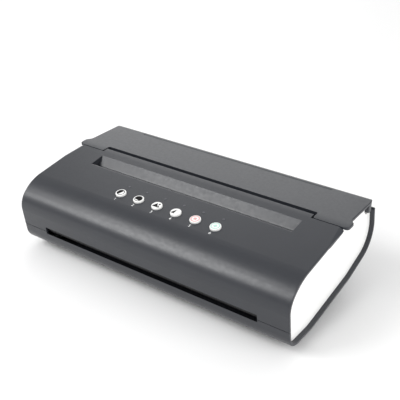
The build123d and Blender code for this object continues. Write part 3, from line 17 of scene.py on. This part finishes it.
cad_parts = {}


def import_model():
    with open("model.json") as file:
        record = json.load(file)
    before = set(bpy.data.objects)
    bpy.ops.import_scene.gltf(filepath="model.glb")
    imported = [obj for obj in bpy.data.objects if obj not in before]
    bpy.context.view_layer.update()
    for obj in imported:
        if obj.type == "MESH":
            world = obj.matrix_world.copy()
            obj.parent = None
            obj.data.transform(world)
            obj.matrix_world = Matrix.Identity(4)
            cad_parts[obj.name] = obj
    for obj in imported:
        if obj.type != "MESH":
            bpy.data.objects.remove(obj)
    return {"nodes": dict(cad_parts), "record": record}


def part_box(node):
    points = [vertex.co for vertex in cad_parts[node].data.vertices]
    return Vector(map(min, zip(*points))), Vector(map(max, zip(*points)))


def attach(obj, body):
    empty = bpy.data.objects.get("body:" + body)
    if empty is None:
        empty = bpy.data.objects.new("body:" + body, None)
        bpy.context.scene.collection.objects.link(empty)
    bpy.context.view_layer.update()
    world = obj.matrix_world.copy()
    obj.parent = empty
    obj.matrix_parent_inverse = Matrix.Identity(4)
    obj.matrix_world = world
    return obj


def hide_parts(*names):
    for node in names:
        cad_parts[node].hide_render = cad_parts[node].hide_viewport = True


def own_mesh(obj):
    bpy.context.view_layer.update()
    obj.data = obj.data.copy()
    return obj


LOG = logging.getLogger("stencil_copier")
MM = 0.001
RIGHT = Vector((1, 0, 0))
WHITE = (1.0, 1.0, 1.0, 1.0)
MERGE_GAP = 0.001 * MM  # vertices nearer than this are one
FLAT_GAP = 0.02 * MM  # vertices this near to the outermost one share its flat
CREASE = math.radians(32)  # edges that turn more than this stay sharp
NUMERAL_SHARE = 0.7  # height of a numeral as a share of its font's size
ROUND_SIDES = 40  # sides of a printed disc or ring
Colour = tuple[float, float, float]
Corners = tuple[tuple[float, float], ...]


class Slot(Enum):
    """Material slots of the record."""

    SHELL = "graphite_shell"
    PANEL = "white_panel"
    BLACK = "black_plastic"
    CAP = "white_button"
    GEAR = "gear_resin"
    RUBBER = "rubber"
    SHEET = "steel_sheet"
    BAR = "steel_bar"
    ALUMINIUM = "aluminium"
    CERAMIC = "ceramic"
    GLASS = "sensor_glass"
    LENS = "lens"
    BOARD = "green_board"
    BRONZE = "bronze"


# ---------------------------------------------------------------- finishes
class Recipe:
    """Node tree of one material, with short ways to add and join its nodes."""

    def __init__(self, name: str) -> None:
        """Starts a material that has a Principled surface and nothing else."""
        self.material = bpy.data.materials.new(name)
        self.material.use_nodes = True
        self.tree = self.material.node_tree
        self.tree.nodes.clear()
        self.surface = self.node("ShaderNodeBsdfPrincipled")
        self.place = self.node("ShaderNodeTexCoord").outputs["Object"]
        output = self.node("ShaderNodeOutputMaterial")
        self.join(self.surface.outputs["BSDF"], output.inputs["Surface"])

    def node(self, kind: str) -> bpy.types.Node:
        """Adds a node of that kind."""
        return self.tree.nodes.new(kind)

    def join(self, source: bpy.types.NodeSocket, target: bpy.types.NodeSocket) -> None:
        """Links an output to an input."""
        self.tree.links.new(source, target)

    def fixed(self, **values: float | tuple) -> None:
        """Sets sockets of the surface by name, with underscores for spaces."""
        for name, value in values.items():
            self.surface.inputs[name.replace("_", " ")].default_value = value

    def noise(
        self, size: float, stretch: Sequence[float] = (1, 1, 1), detail: float = 2.0
    ) -> bpy.types.NodeSocket:
        """Adds noise on object coordinates.

        Args:
            size: Size of its features, in metres.
            stretch: How much longer they are along each axis.
            detail: Octaves of finer noise.

        Returns:
            The noise's factor.
        """
        mapping = self.node("ShaderNodeMapping")
        mapping.inputs["Scale"].default_value = [1 / (size * s) for s in stretch]
        self.join(self.place, mapping.inputs["Vector"])
        noise = self.node("ShaderNodeTexNoise")
        noise.inputs["Scale"].default_value = 1.0
        noise.inputs["Detail"].default_value = detail
        self.join(mapping.outputs["Vector"], noise.inputs["Vector"])
        return noise.outputs["Fac"]

    def ranged(
        self,
        source: bpy.types.NodeSocket,
        low: float,
        high: float,
        start: float = 0.3,
        end: float = 0.7,
    ) -> bpy.types.NodeSocket:
        """Maps start..end of a factor to low..high.

        Args:
            source: The factor.
            low: Value at start.
            high: Value at end.
            start: Where the factor's span begins.
            end: Where the factor's span ends.

        Returns:
            The mapped value.
        """
        ramp = self.node("ShaderNodeMapRange")
        spans = {"From Min": start, "From Max": end, "To Min": low, "To Max": high}
        for name, value in spans.items():
            ramp.inputs[name].default_value = value
        self.join(source, ramp.inputs["Value"])
        return ramp.outputs["Result"]

    def blended(
        self, share: bpy.types.NodeSocket, first: Colour, second: Colour
    ) -> bpy.types.NodeSocket:
        """Mixes two colours by a share.

        Args:
            share: The second colour's share.
            first: Linear colour at 0.
            second: Linear colour at 1.

        Returns:
            The mixed colour.
        """
        mix = self.node("ShaderNodeMix")
        mix.data_type = "RGBA"
        mix.inputs["A"].default_value = (*first, 1)
        mix.inputs["B"].default_value = (*second, 1)
        self.join(share, mix.inputs["Factor"])
        return mix.outputs["Result"]

    def bump(self, height: bpy.types.NodeSocket, depth: float) -> None:
        """Raises the surface by a height map, depth metres at its highest."""
        bump = self.node("ShaderNodeBump")
        bump.inputs["Strength"].default_value = 1.0
        bump.inputs["Distance"].default_value = depth
        self.join(height, bump.inputs["Height"])
        self.join(bump.outputs["Normal"], self.surface.inputs["Normal"])


def shade(colour: Colour, share: float) -> Colour:
    """Returns the colour made lighter by a share, or darker by a negative one."""
    return tuple(min(1.0, c * (1 + share)) for c in colour)


@dataclass(frozen=True)
class Moulded:
    """Moulded plastic with the fine grain of a spark-eroded mould.

    Attributes:
        name: The material's name.
        colour: Linear base colour.
        rough: Roughness in the middle of its range.
        grain: Size of the mould's grain, in metres.
        depth: Depth of the grain, in metres.
        drift: Share by which lightness wanders over the piece.
        specular: Strength of the plain reflection.
        drift_size: Size of the patches of lighter and darker colour, in metres.
        sheen_size: Size of the patches of duller and glossier surface, in metres.
        sheen_swing: How far roughness goes up and down over them.
    """

    name: str
    colour: Colour
    rough: float
    grain: float = 0.45 * MM
    depth: float = 0.02 * MM
    drift: float = 0.04
    specular: float = 0.5
    drift_size: float = 22 * MM
    sheen_size: float = 3 * MM
    sheen_swing: float = 0.05

    def material(self) -> bpy.types.Material:
        """Builds the material."""
        recipe = Recipe(self.name)
        drift = recipe.noise(self.drift_size, detail=3)
        grain = recipe.noise(self.grain)
        tint = recipe.blended(
            recipe.ranged(drift, 0, 1),
            shade(self.colour, -self.drift),
            shade(self.colour, self.drift),
        )
        recipe.join(tint, recipe.surface.inputs["Base Color"])
        sheen = recipe.noise(self.sheen_size, detail=4)
        rough = recipe.ranged(sheen, self.rough - self.sheen_swing, self.rough + self.sheen_swing)
        recipe.join(rough, recipe.surface.inputs["Roughness"])
        recipe.fixed(Specular_IOR_Level=self.specular)
        recipe.bump(grain, self.depth)
        return recipe.material


@dataclass(frozen=True)
class Metal:
    """Bare or plated metal, with marks drawn out along one axis.

    Attributes:
        name: The material's name.
        colour: Linear base colour.
        rough: Roughness in the middle of its range.
        stretch: How much longer the marks are along X, Y and Z.
        mark: Width of the marks, in metres.
        depth: Depth of the marks, in metres.
        bloom_size: Size of the patches where the metal is duller, in metres.
        darker: Share by which those patches lose lightness.
        lighter: Share by which the rest gains it.
        smoother: How far roughness falls between the marks.
        rougher: How far it rises on them.
    """

    name: str
    colour: Colour
    rough: float
    stretch: tuple[float, float, float] = (1, 1, 1)
    mark: float = 0.3 * MM
    depth: float = 0.006 * MM
    bloom_size: float = 9 * MM
    darker: float = 0.12
    lighter: float = 0.08
    smoother: float = 0.08
    rougher: float = 0.1

    def material(self) -> bpy.types.Material:
        """Builds the material."""
        recipe = Recipe(self.name)
        marks = recipe.noise(self.mark, self.stretch, detail=3)
        bloom = recipe.ranged(recipe.noise(self.bloom_size, detail=4), 0, 1)
        dull, bright = shade(self.colour, -self.darker), shade(self.colour, self.lighter)
        tint = recipe.blended(bloom, dull, bright)
        recipe.join(tint, recipe.surface.inputs["Base Color"])
        rough = recipe.ranged(marks, self.rough - self.smoother, self.rough + self.rougher)
        recipe.join(rough, recipe.surface.inputs["Roughness"])
        recipe.fixed(Metallic=1.0)
        recipe.bump(marks, self.depth)
        return recipe.material


@dataclass(frozen=True)
class Clear:
    """Clear or tinted glass and lens plastic.

    Attributes:
        name: The material's name.
        colour: Linear colour of what passes through.
        passing: Share of light that passes through.
        rough: Roughness where it is clearest.
        haze: How much rougher its hazy patches are.
        haze_size: Size of those patches, in metres.
        bend: Index of refraction.
    """

    name: str
    colour: Colour
    passing: float
    rough: float
    haze: float = 0.04
    haze_size: float = 2 * MM
    bend: float = 1.5

    def material(self) -> bpy.types.Material:
        """Builds the material."""
        recipe = Recipe(self.name)
        patches = recipe.noise(self.haze_size)
        haze = recipe.ranged(patches, self.rough, self.rough + self.haze)
        recipe.join(haze, recipe.surface.inputs["Roughness"])
        recipe.fixed(
            Base_Color=(*self.colour, 1), Transmission_Weight=self.passing, IOR=self.bend
        )
        return recipe.material


@dataclass(frozen=True)
class Lacquer:
    """Circuit board: green lacquer over copper tracks.

    Attributes:
        name: The material's name.
        lacquer: Linear colour between the tracks.
        track: Linear colour over the tracks.
        pitch: Distance between tracks, in metres.
        edge: Where a track's edge starts and ends, as shares of the pitch.
        height: Height of the tracks under the lacquer, in metres.
    """

    name: str
    lacquer: Colour = (0.008, 0.075, 0.03)
    track: Colour = (0.02, 0.14, 0.055)
    pitch: float = 2.6 * MM
    edge: tuple[float, float] = (0.52, 0.58)
    height: float = 0.03 * MM

    def material(self) -> bpy.types.Material:
        """Builds the material."""
        recipe = Recipe(self.name)
        mapping = recipe.node("ShaderNodeMapping")
        mapping.inputs["Scale"].default_value = [1 / self.pitch] * 3
        recipe.join(recipe.place, mapping.inputs["Vector"])
        cells = recipe.node("ShaderNodeTexVoronoi")
        cells.distance = "CHEBYCHEV"
        cells.feature = "F2"
        cells.inputs["Scale"].default_value = 1.0
        recipe.join(mapping.outputs["Vector"], cells.inputs["Vector"])
        tracks = recipe.ranged(cells.outputs["Distance"], 0, 1, *self.edge)
        tint = recipe.blended(tracks, self.lacquer, self.track)
        recipe.join(tint, recipe.surface.inputs["Base Color"])
        recipe.fixed(Roughness=0.32, Coat_Weight=0.4, Coat_Roughness=0.15)
        recipe.bump(tracks, self.height)
        return recipe.material


FINISHES = {
    Slot.SHELL: Moulded("graphite_plastic", (0.0232, 0.0255, 0.0315), 0.34),
    Slot.PANEL: Moulded("white_panel_plastic", (0.83, 0.83, 0.82), 0.34, drift=0.01),
    Slot.BLACK: Moulded("black_guide_plastic", (0.012, 0.012, 0.013), 0.5),
    Slot.CAP: Moulded(
        "white_cap_plastic", (0.8, 0.8, 0.79), 0.32, grain=0.3 * MM, depth=0.006 * MM, drift=0.01
    ),
    Slot.GEAR: Moulded("gear_acetal", (0.68, 0.66, 0.6), 0.38, grain=0.6 * MM, depth=0.01 * MM),
    Slot.RUBBER: Moulded(
        "black_rubber",
        (0.016, 0.016, 0.017),
        0.72,
        grain=0.35 * MM,
        depth=0.03 * MM,
        drift=0.12,
        specular=0.3,
    ),
    Slot.SHEET: Metal("zinc_plated_sheet", (0.55, 0.56, 0.57), 0.36, mark=1.4 * MM),
    Slot.BAR: Metal("ground_steel", (0.6, 0.6, 0.6), 0.24, stretch=(0.4, 6, 6), mark=0.25 * MM),
    Slot.ALUMINIUM: Metal(
        "extruded_aluminium", (0.72, 0.72, 0.73), 0.3, stretch=(30, 1, 1), mark=0.2 * MM
    ),
    Slot.CERAMIC: Moulded(
        "glazed_alumina", (0.74, 0.73, 0.68), 0.2, grain=0.8 * MM, depth=0.003 * MM
    ),
    Slot.GLASS: Clear("scanner_glass", (0.86, 0.93, 0.9), 0.9, 0.02),
    Slot.LENS: Clear("smoked_lens", (0.07, 0.072, 0.085), 0.1, 0.3),
    Slot.BOARD: Lacquer("board_lacquer"),
    Slot.BRONZE: Metal("sintered_bronze", (0.5, 0.33, 0.17), 0.45, mark=0.5 * MM),
}


# ---------------------------------------------------------------- making pieces
def dressed(
    shape: bmesh.types.BMesh,
    name: str,
    body: str,
    material: bpy.types.Material,
    seat: Matrix | None = None,
) -> bpy.types.Object:
    """Turns a finished shape into a piece that rides on a body.

    Args:
        shape: The shape, in its own or the model's frame. It is used up.
        name: The piece's name.
        body: The body that carries it.
        material: Its finish.
        seat: Where its own frame sits in the model, or None if it is there already.

    Returns:
        The piece.
    """
    if seat is not None:
        bmesh.ops.transform(shape, matrix=seat, verts=shape.verts)
    bmesh.ops.remove_doubles(shape, verts=shape.verts, dist=MERGE_GAP)
    bmesh.ops.recalc_face_normals(shape, faces=shape.faces)
    for edge in shape.edges:
        edge.smooth = len(edge.link_faces) == 2 and edge.calc_face_angle(0.0) < CREASE
    for face in shape.faces:
        face.smooth = True
    mesh = bpy.data.meshes.new(name)
    shape.to_mesh(mesh)
    shape.free()
    mesh.materials.append(material)
    piece = bpy.data.objects.new(name, mesh)
    bpy.context.scene.collection.objects.link(piece)
    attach(piece, body)
    LOG.info("%s rides on %s, %d faces", name, body, len(mesh.polygons))
    return piece


def seat_on(node: str, normal: Vector) -> Matrix:
    """Finds the outermost flat of a CAD node.

    Args:
        node: The CAD node.
        normal: Direction that the flat faces.

    Returns:
        A frame in the middle of that flat, with Z along the normal and X to the right.
    """
    z = normal.normalized()
    x = (RIGHT - RIGHT.dot(z) * z).normalized()
    y = z.cross(x)
    spots = [v.co for v in bpy.data.objects[node].data.vertices]
    top = max(s.dot(z) for s in spots)
    flat = [s for s in spots if s.dot(z) > top - FLAT_GAP]
    middle = [(min(s.dot(a) for s in flat) + max(s.dot(a) for s in flat)) / 2 for a in (x, y)]
    origin = x * middle[0] + y * middle[1] + z * top
    return Matrix.Translation(origin) @ Matrix((x, y, z)).transposed().to_4x4()


def stamped(shape: bmesh.types.BMesh, raised: float, sunk: float) -> bmesh.types.BMesh:
    """Gives a flat print its thickness.

    Args:
        shape: Flat faces at height 0.
        raised: Height above the surface that carries it.
        sunk: Depth below that surface.

    Returns:
        The same shape, closed.
    """
    bmesh.ops.translate(shape, verts=shape.verts, vec=(0, 0, -sunk))
    top = bmesh.ops.extrude_face_region(shape, geom=shape.faces[:], use_keep_orig=True)
    lifted = [v for v in top["geom"] if isinstance(v, bmesh.types.BMVert)]
    bmesh.ops.translate(shape, verts=lifted, vec=(0, 0, raised + sunk))
    return shape


def edges_of(verts: Sequence[bmesh.types.BMVert]) -> list[bmesh.types.BMEdge]:
    """Lists the edges that meet the vertices, each once and in their order."""
    return list(dict.fromkeys(e for v in verts for e in v.link_edges))


def faces_of(verts: Sequence[bmesh.types.BMVert]) -> list[bmesh.types.BMFace]:
    """Lists the faces that meet the vertices, each once and in their order."""
    return list(dict.fromkeys(f for v in verts for f in v.link_faces))


def disc(
    shape: bmesh.types.BMesh,
    radius: float,
    at: Sequence[float] = (0, 0),
    sides: int = ROUND_SIDES,
    turn: float = 0.0,
) -> list[bmesh.types.BMVert]:
    """Adds a flat disc, or a regular polygon.

    Args:
        shape: Where it goes.
        radius: Radius to its corners.
        at: X and Y of its middle.
        sides: Number of its sides.
        turn: How far it is turned, in radians.

    Returns:
        Its vertices.
    """
    place = Matrix.Translation((*at, 0)) @ Matrix.Rotation(turn, 4, "Z")
    made = bmesh.ops.create_circle(
        shape, cap_ends=True, segments=sides, radius=radius, matrix=place
    )
    return made["verts"]


def ring(shape: bmesh.types.BMesh, outer: float, inner: float) -> None:
    """Adds a flat ring between two radii."""
    edges = []
    for radius in (outer, inner):
        made = bmesh.ops.create_circle(shape, cap_ends=False, segments=ROUND_SIDES, radius=radius)
        edges += edges_of(made["verts"])
    bmesh.ops.bridge_loops(shape, edges=edges)


def numeral(text: str, height: float) -> bmesh.types.BMesh:
    """Makes a flat numeral, centred on its own origin."""
    curve = bpy.data.curves.new("numeral", "FONT")
    curve.body = text
    curve.size = height / NUMERAL_SHARE
    curve.align_x, curve.align_y = "CENTER", "CENTER"
    text_object = bpy.data.objects.new("numeral", curve)
    shape = bmesh.new()
    flat = bpy.data.meshes.new_from_object(text_object)
    shape.from_mesh(flat)
    bpy.data.objects.remove(text_object)
    bpy.data.meshes.remove(flat)
    return shape


# ---------------------------------------------------------------- sub-assemblies
@dataclass
class Frame:
    """The CAD nodes that stay, and the finishes that they and the new pieces share.

    Attributes:
        nodes: CAD objects by node name.
        record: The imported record.
        materials: Finished materials by slot.
    """

    nodes: dict[str, bpy.types.Object]
    record: dict
    materials: dict[Slot, bpy.types.Material]

    @classmethod
    def loaded(cls) -> "Frame":
        """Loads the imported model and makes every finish."""
        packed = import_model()
        materials = {slot: finish.material() for slot, finish in FINISHES.items()}
        return cls(packed["nodes"], packed["record"], materials)

    def joint(self, name: str) -> dict:
        """Returns a joint of the record by name."""
        return next(j for j in self.record["behaviour"]["joints"] if j["name"] == name)

    def dress(self) -> None:
        """Gives each CAD node the finish of its slot."""
        for part in self.record["subparts"]:
            node, slot = self.nodes[part["node"]], Slot(part["material_slot"])
            node.data.materials.clear()
            node.data.materials.append(self.materials[slot])


@dataclass
class ControlPanel:
    """Prints on the six caps and on the panel round them.

    Attributes:
        frame: The loaded frame.
        icon: Radius of an icon.
        line: Width of an icon's lines.
        ink: Height of a print above its surface.
        sunk: Depth of a print below its surface.
        bold: Width of the rings on the two coloured caps.
        wide: Radius of those rings.
        numeral_height: Height of the numerals in front of the buttons.
        numeral_gap: From a button's middle to its numeral's.
        cap_proud: How far a cap stands out of the panel.
        hill: Corners of the large hill, in radii of the icon.
        foothill: Corners of the small hill.
        sun: X, Y and radius of the sun.
        slope: Corners of the filled triangle left of the mirror line.
        mirrored_slope: Corners of its outline right of the line.
    """

    frame: Frame
    icon: float = 3.7 * MM
    line: float = 0.6 * MM
    ink: float = 0.03 * MM
    sunk: float = 0.05 * MM
    bold: float = 0.96 * MM
    wide: float = 4.07 * MM
    numeral_height: float = 2.9 * MM
    numeral_gap: float = 8.4 * MM
    cap_proud: float = 1.6 * MM
    hill: Corners = ((-1.0, -0.68), (0.62, -0.68), (-0.22, 0.72))
    foothill: Corners = ((0.7, -0.68), (1.05, -0.68), (0.62, 0.05), (0.36, -0.1))
    sun: tuple[float, float, float] = (0.5, 0.52, 0.26)
    slope: Corners = ((-1.05, -0.68), (-0.12, -0.68), (-0.12, 0.8))
    mirrored_slope: Corners = ((0.12, -0.68), (1.05, -0.68), (0.12, 0.8))

    def build(self) -> None:
        """Prints every cap and its numeral."""
        black = Moulded("black_ink", (0.004, 0.004, 0.004), 0.6, specular=0.15).material()
        pink = Moulded("pink_ink", (0.7, 0.36, 0.36), 0.45).material()
        mint = Moulded("mint_ink", (0.42, 0.66, 0.58), 0.45).material()
        white = Moulded("white_ink", (0.85, 0.85, 0.85), 0.5).material()
        icons = [
            (self.half_moon, black),
            (self.dark_moon, black),
            (self.peaks, black),
            (self.mirrored, black),
            (self.halt, pink),
            (self.start, mint),
        ]
        inward = Vector(self.frame.joint("button_1_press")["axis"])
        for number, (draw, ink) in enumerate(icons, 1):
            seat = seat_on(f"button_{number}", -inward)
            icon = bmesh.new()
            draw(icon)
            stamped(icon, self.ink, self.sunk)
            dressed(icon, f"cap_icon_{number}", f"button_{number}", ink, seat)
            below = seat @ Matrix.Translation((0, -self.numeral_gap, -self.cap_proud))
            digit = stamped(numeral(str(number), self.numeral_height), self.ink, self.sunk)
            dressed(digit, f"panel_numeral_{number}", "housing", white, below)

    def half_moon(self, shape: bmesh.types.BMesh) -> None:
        """Draws a ring with its left half filled."""
        self.moon(shape, (0.1 * self.icon, 0, 0), (1, -0.4, 0))

    def dark_moon(self, shape: bmesh.types.BMesh) -> None:
        """Draws a filled ring with its front part left open."""
        self.moon(shape, (0, -0.5 * self.icon, 0), (-0.2, -1, 0))

    def moon(
        self, shape: bmesh.types.BMesh, cut: Sequence[float], normal: Sequence[float]
    ) -> None:
        """Adds a ring, filled up to a line.

        Args:
            shape: Where it goes.
            cut: A point of the line.
            normal: Direction of the part that is left open.
        """
        whole = disc(shape, self.icon - self.line / 2)
        geometry = whole + edges_of(whole) + faces_of(whole)
        bmesh.ops.bisect_plane(
            shape, geom=geometry, plane_co=cut, plane_no=normal, clear_outer=True
        )
        ring(shape, self.icon, self.icon - self.line)

    def peaks(self, shape: bmesh.types.BMesh) -> None:
        """Draws two hills and a sun."""
        self.polygon(shape, self.hill)
        self.polygon(shape, self.foothill)
        x, y, radius = (share * self.icon for share in self.sun)
        disc(shape, radius, (x, y), 20)

    def mirrored(self, shape: bmesh.types.BMesh) -> None:
        """Draws a filled triangle and its outline across a line."""
        self.polygon(shape, self.slope)
        self.polygon(shape, self.mirrored_slope, 0.9 * self.line)

    def polygon(self, shape: bmesh.types.BMesh, spots: Corners, line: float = 0.0) -> None:
        """Adds a flat polygon, filled or as an outline.

        Args:
            shape: Where it goes.
            spots: Its corners in radii of the icon, anticlockwise.
            line: Width of the outline, or 0 for a filled polygon.
        """
        face = shape.faces.new(
            [shape.verts.new((x * self.icon, y * self.icon, 0)) for x, y in spots]
        )
        if line:
            bmesh.ops.inset_individual(shape, faces=[face], thickness=line, use_even_offset=True)
            bmesh.ops.delete(shape, geom=[face], context="FACES_ONLY")

    def halt(self, shape: bmesh.types.BMesh) -> None:
        """Draws a square in a ring."""
        ring(shape, self.wide, self.wide - self.bold)
        disc(shape, 0.5 * self.icon, sides=4, turn=math.pi / 4)

    def start(self, shape: bmesh.types.BMesh) -> None:
        """Draws a diamond in a ring."""
        ring(shape, self.wide, self.wide - self.bold)
        disc(shape, 0.55 * self.icon, sides=4)


@dataclass
class HeadSprings:
    """Four bow springs that press the print head down from its bracket.

    Attributes:
        frame: The loaded frame.
        places: X of each spring's middle.
        span: Distance between a spring's two feet.
        sheet: Thickness of the strip.
        sides: Segments along the bow.
    """

    frame: Frame
    places: tuple[float, ...] = (-80 * MM, -28 * MM, 28 * MM, 80 * MM)
    span: float = 30 * MM
    sheet: float = 0.5 * MM
    sides: int = 24

    def build(self) -> None:
        """Adds the springs as fixed strips that ride on the lid, in place of the CAD node's
        springs.
        """
        low, high = (Vector(corner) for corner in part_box("head_springs"))
        travel = self.frame.joint("head_float")["range_m"][1]
        shape = bmesh.new()
        for x in self.places:
            self.bow(shape, x, low, high)
        sheet = self.frame.materials[Slot.SHEET]
        strips = dressed(shape, "head_spring_strips", "lid", sheet)
        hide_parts("head_springs")
        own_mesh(strips)

    def bow(self, shape: bmesh.types.BMesh, x: float, low: Vector, high: Vector) -> None:
        """Spins one strip over its bow.

        Args:
            shape: Where it goes.
            x: X of its middle.
            low: Lowest corner of the springs' box.
            high: Highest corner of the springs' box.
        """
        rise = high.z - low.z
        half = self.span / 2
        radius = (half**2 + rise**2) / (2 * rise)
        turn = math.asin(half / radius)
        section = bmesh.ops.create_grid(shape, x_segments=1, y_segments=1, size=0.5)["verts"]
        bmesh.ops.scale(shape, verts=section, vec=(high.y - low.y, self.sheet, 1))
        centre = Vector((x, (low.y + high.y) / 2, high.z - radius))
        lean = Matrix.Translation(centre) @ Matrix.Rotation(-turn, 4, "Y")
        lift = Matrix.Translation((0, 0, radius - self.sheet / 2))
        upright = Matrix.Rotation(math.pi / 2, 4, "Z") @ Matrix.Rotation(math.pi / 2, 4, "X")
        bmesh.ops.transform(shape, matrix=lean @ lift @ upright, verts=section)
        bmesh.ops.spin(
            shape,
            geom=section + edges_of(section) + faces_of(section),
            cent=centre,
            axis=(0, 1, 0),
            angle=2 * turn,
            steps=self.sides,
            use_duplicate=False,
        )


# ---------------------------------------------------------------- studio
@dataclass(frozen=True)
class Softbox:
    """A square soft light that faces one point.

    Attributes:
        name: The light's name.
        place: Where it stands.
        size: Its side.
        power: Its power in watts.
        aim: The point that it faces.
    """

    name: str
    place: tuple[float, float, float]
    size: float
    power: float
    aim: tuple[float, float, float] = (0, 0, 0.04)

    def build(self) -> None:
        """Adds the light."""
        light = bpy.data.lights.new(self.name, "AREA")
        light.size = self.size
        light.energy = self.power
        lamp = bpy.data.objects.new(self.name, light)
        bpy.context.scene.collection.objects.link(lamp)
        lamp.location = self.place
        facing = Vector(self.aim) - Vector(self.place)
        lamp.rotation_euler = facing.to_track_quat("-Z", "Y").to_euler()


@dataclass
class Studio:
    """Pale floor, soft lights, and the camera at the photograph's angle.

    Attributes:
        camera_place: Camera's place.
        azimuth: Camera's turn about the vertical, in degrees.
        pitch: How far it looks down, in degrees.
        lens: Focal length in millimetres on a 36 mm sensor.
        near: Distance at which the camera starts to see.
        far: Distance at which it stops.
        floor_side: Side of the floor.
        sky: Brightness of the surroundings.
        lights: The soft lights.
    """

    camera_place: tuple[float, float, float] = (0.35421, -0.47521, 0.37639)
    azimuth: float = 35.966
    pitch: float = 27.707
    lens: float = 66.84
    near: float = 0.01
    far: float = 30.0
    floor_side: float = 12.0
    sky: float = 0.68
    lights: tuple[Softbox, ...] = (
        Softbox("overhead_softbox", (-1.0, -1.15, 1.3), 1.0, 26.0),
        Softbox("back_softbox", (-1.1, 1.6, 1.0), 1.4, 7.0),
        Softbox("side_softbox", (1.7, -0.1, 0.55), 1.2, 18.0),
    )

    def build(self) -> None:
        """Sets up surroundings, floor, lights and camera."""
        bpy.context.scene.view_settings.view_transform = "Standard"
        self.surroundings()
        self.floor()
        for light in self.lights:
            light.build()
        self.camera()

    def surroundings(self) -> None:
        """Adds an even white light from all sides."""
        world = bpy.data.worlds.new("studio")
        world.use_nodes = True
        background = world.node_tree.nodes["Background"]
        background.inputs["Color"].default_value = WHITE
        background.inputs["Strength"].default_value = self.sky
        bpy.context.scene.world = world

    def floor(self) -> None:
        """Adds the floor."""
        shape = bmesh.new()
        bmesh.ops.create_grid(shape, x_segments=1, y_segments=1, size=self.floor_side / 2)
        mesh = bpy.data.meshes.new("floor")
        shape.to_mesh(mesh)
        shape.free()
        recipe = Recipe("pale_paper")
        recipe.fixed(Base_Color=(0.9, 0.9, 0.9, 1), Roughness=0.6)
        mesh.materials.append(recipe.material)
        floor = bpy.data.objects.new("floor", mesh)
        bpy.context.scene.collection.objects.link(floor)

    def camera(self) -> None:
        """Adds the camera and makes it the scene's."""
        scene = bpy.context.scene
        camera = bpy.data.objects.new("camera", bpy.data.cameras.new("camera"))
        scene.collection.objects.link(camera)
        camera.location = self.camera_place
        camera.rotation_euler = (math.radians(90 - self.pitch), 0, math.radians(self.azimuth))
        camera.data.lens = self.lens
        camera.data.clip_start, camera.data.clip_end = self.near, self.far
        scene.camera = camera


def main() -> None:
    """Dresses the frame, adds every sub-assembly's pieces and sets the studio up."""
    logging.basicConfig(level=logging.INFO, format="%(name)s: %(message)s")
    frame = Frame.loaded()
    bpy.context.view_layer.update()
    frame.dress()
    ControlPanel(frame).build()
    HeadSprings(frame).build()
    Studio().build()


if __name__ == "__main__":
    main()
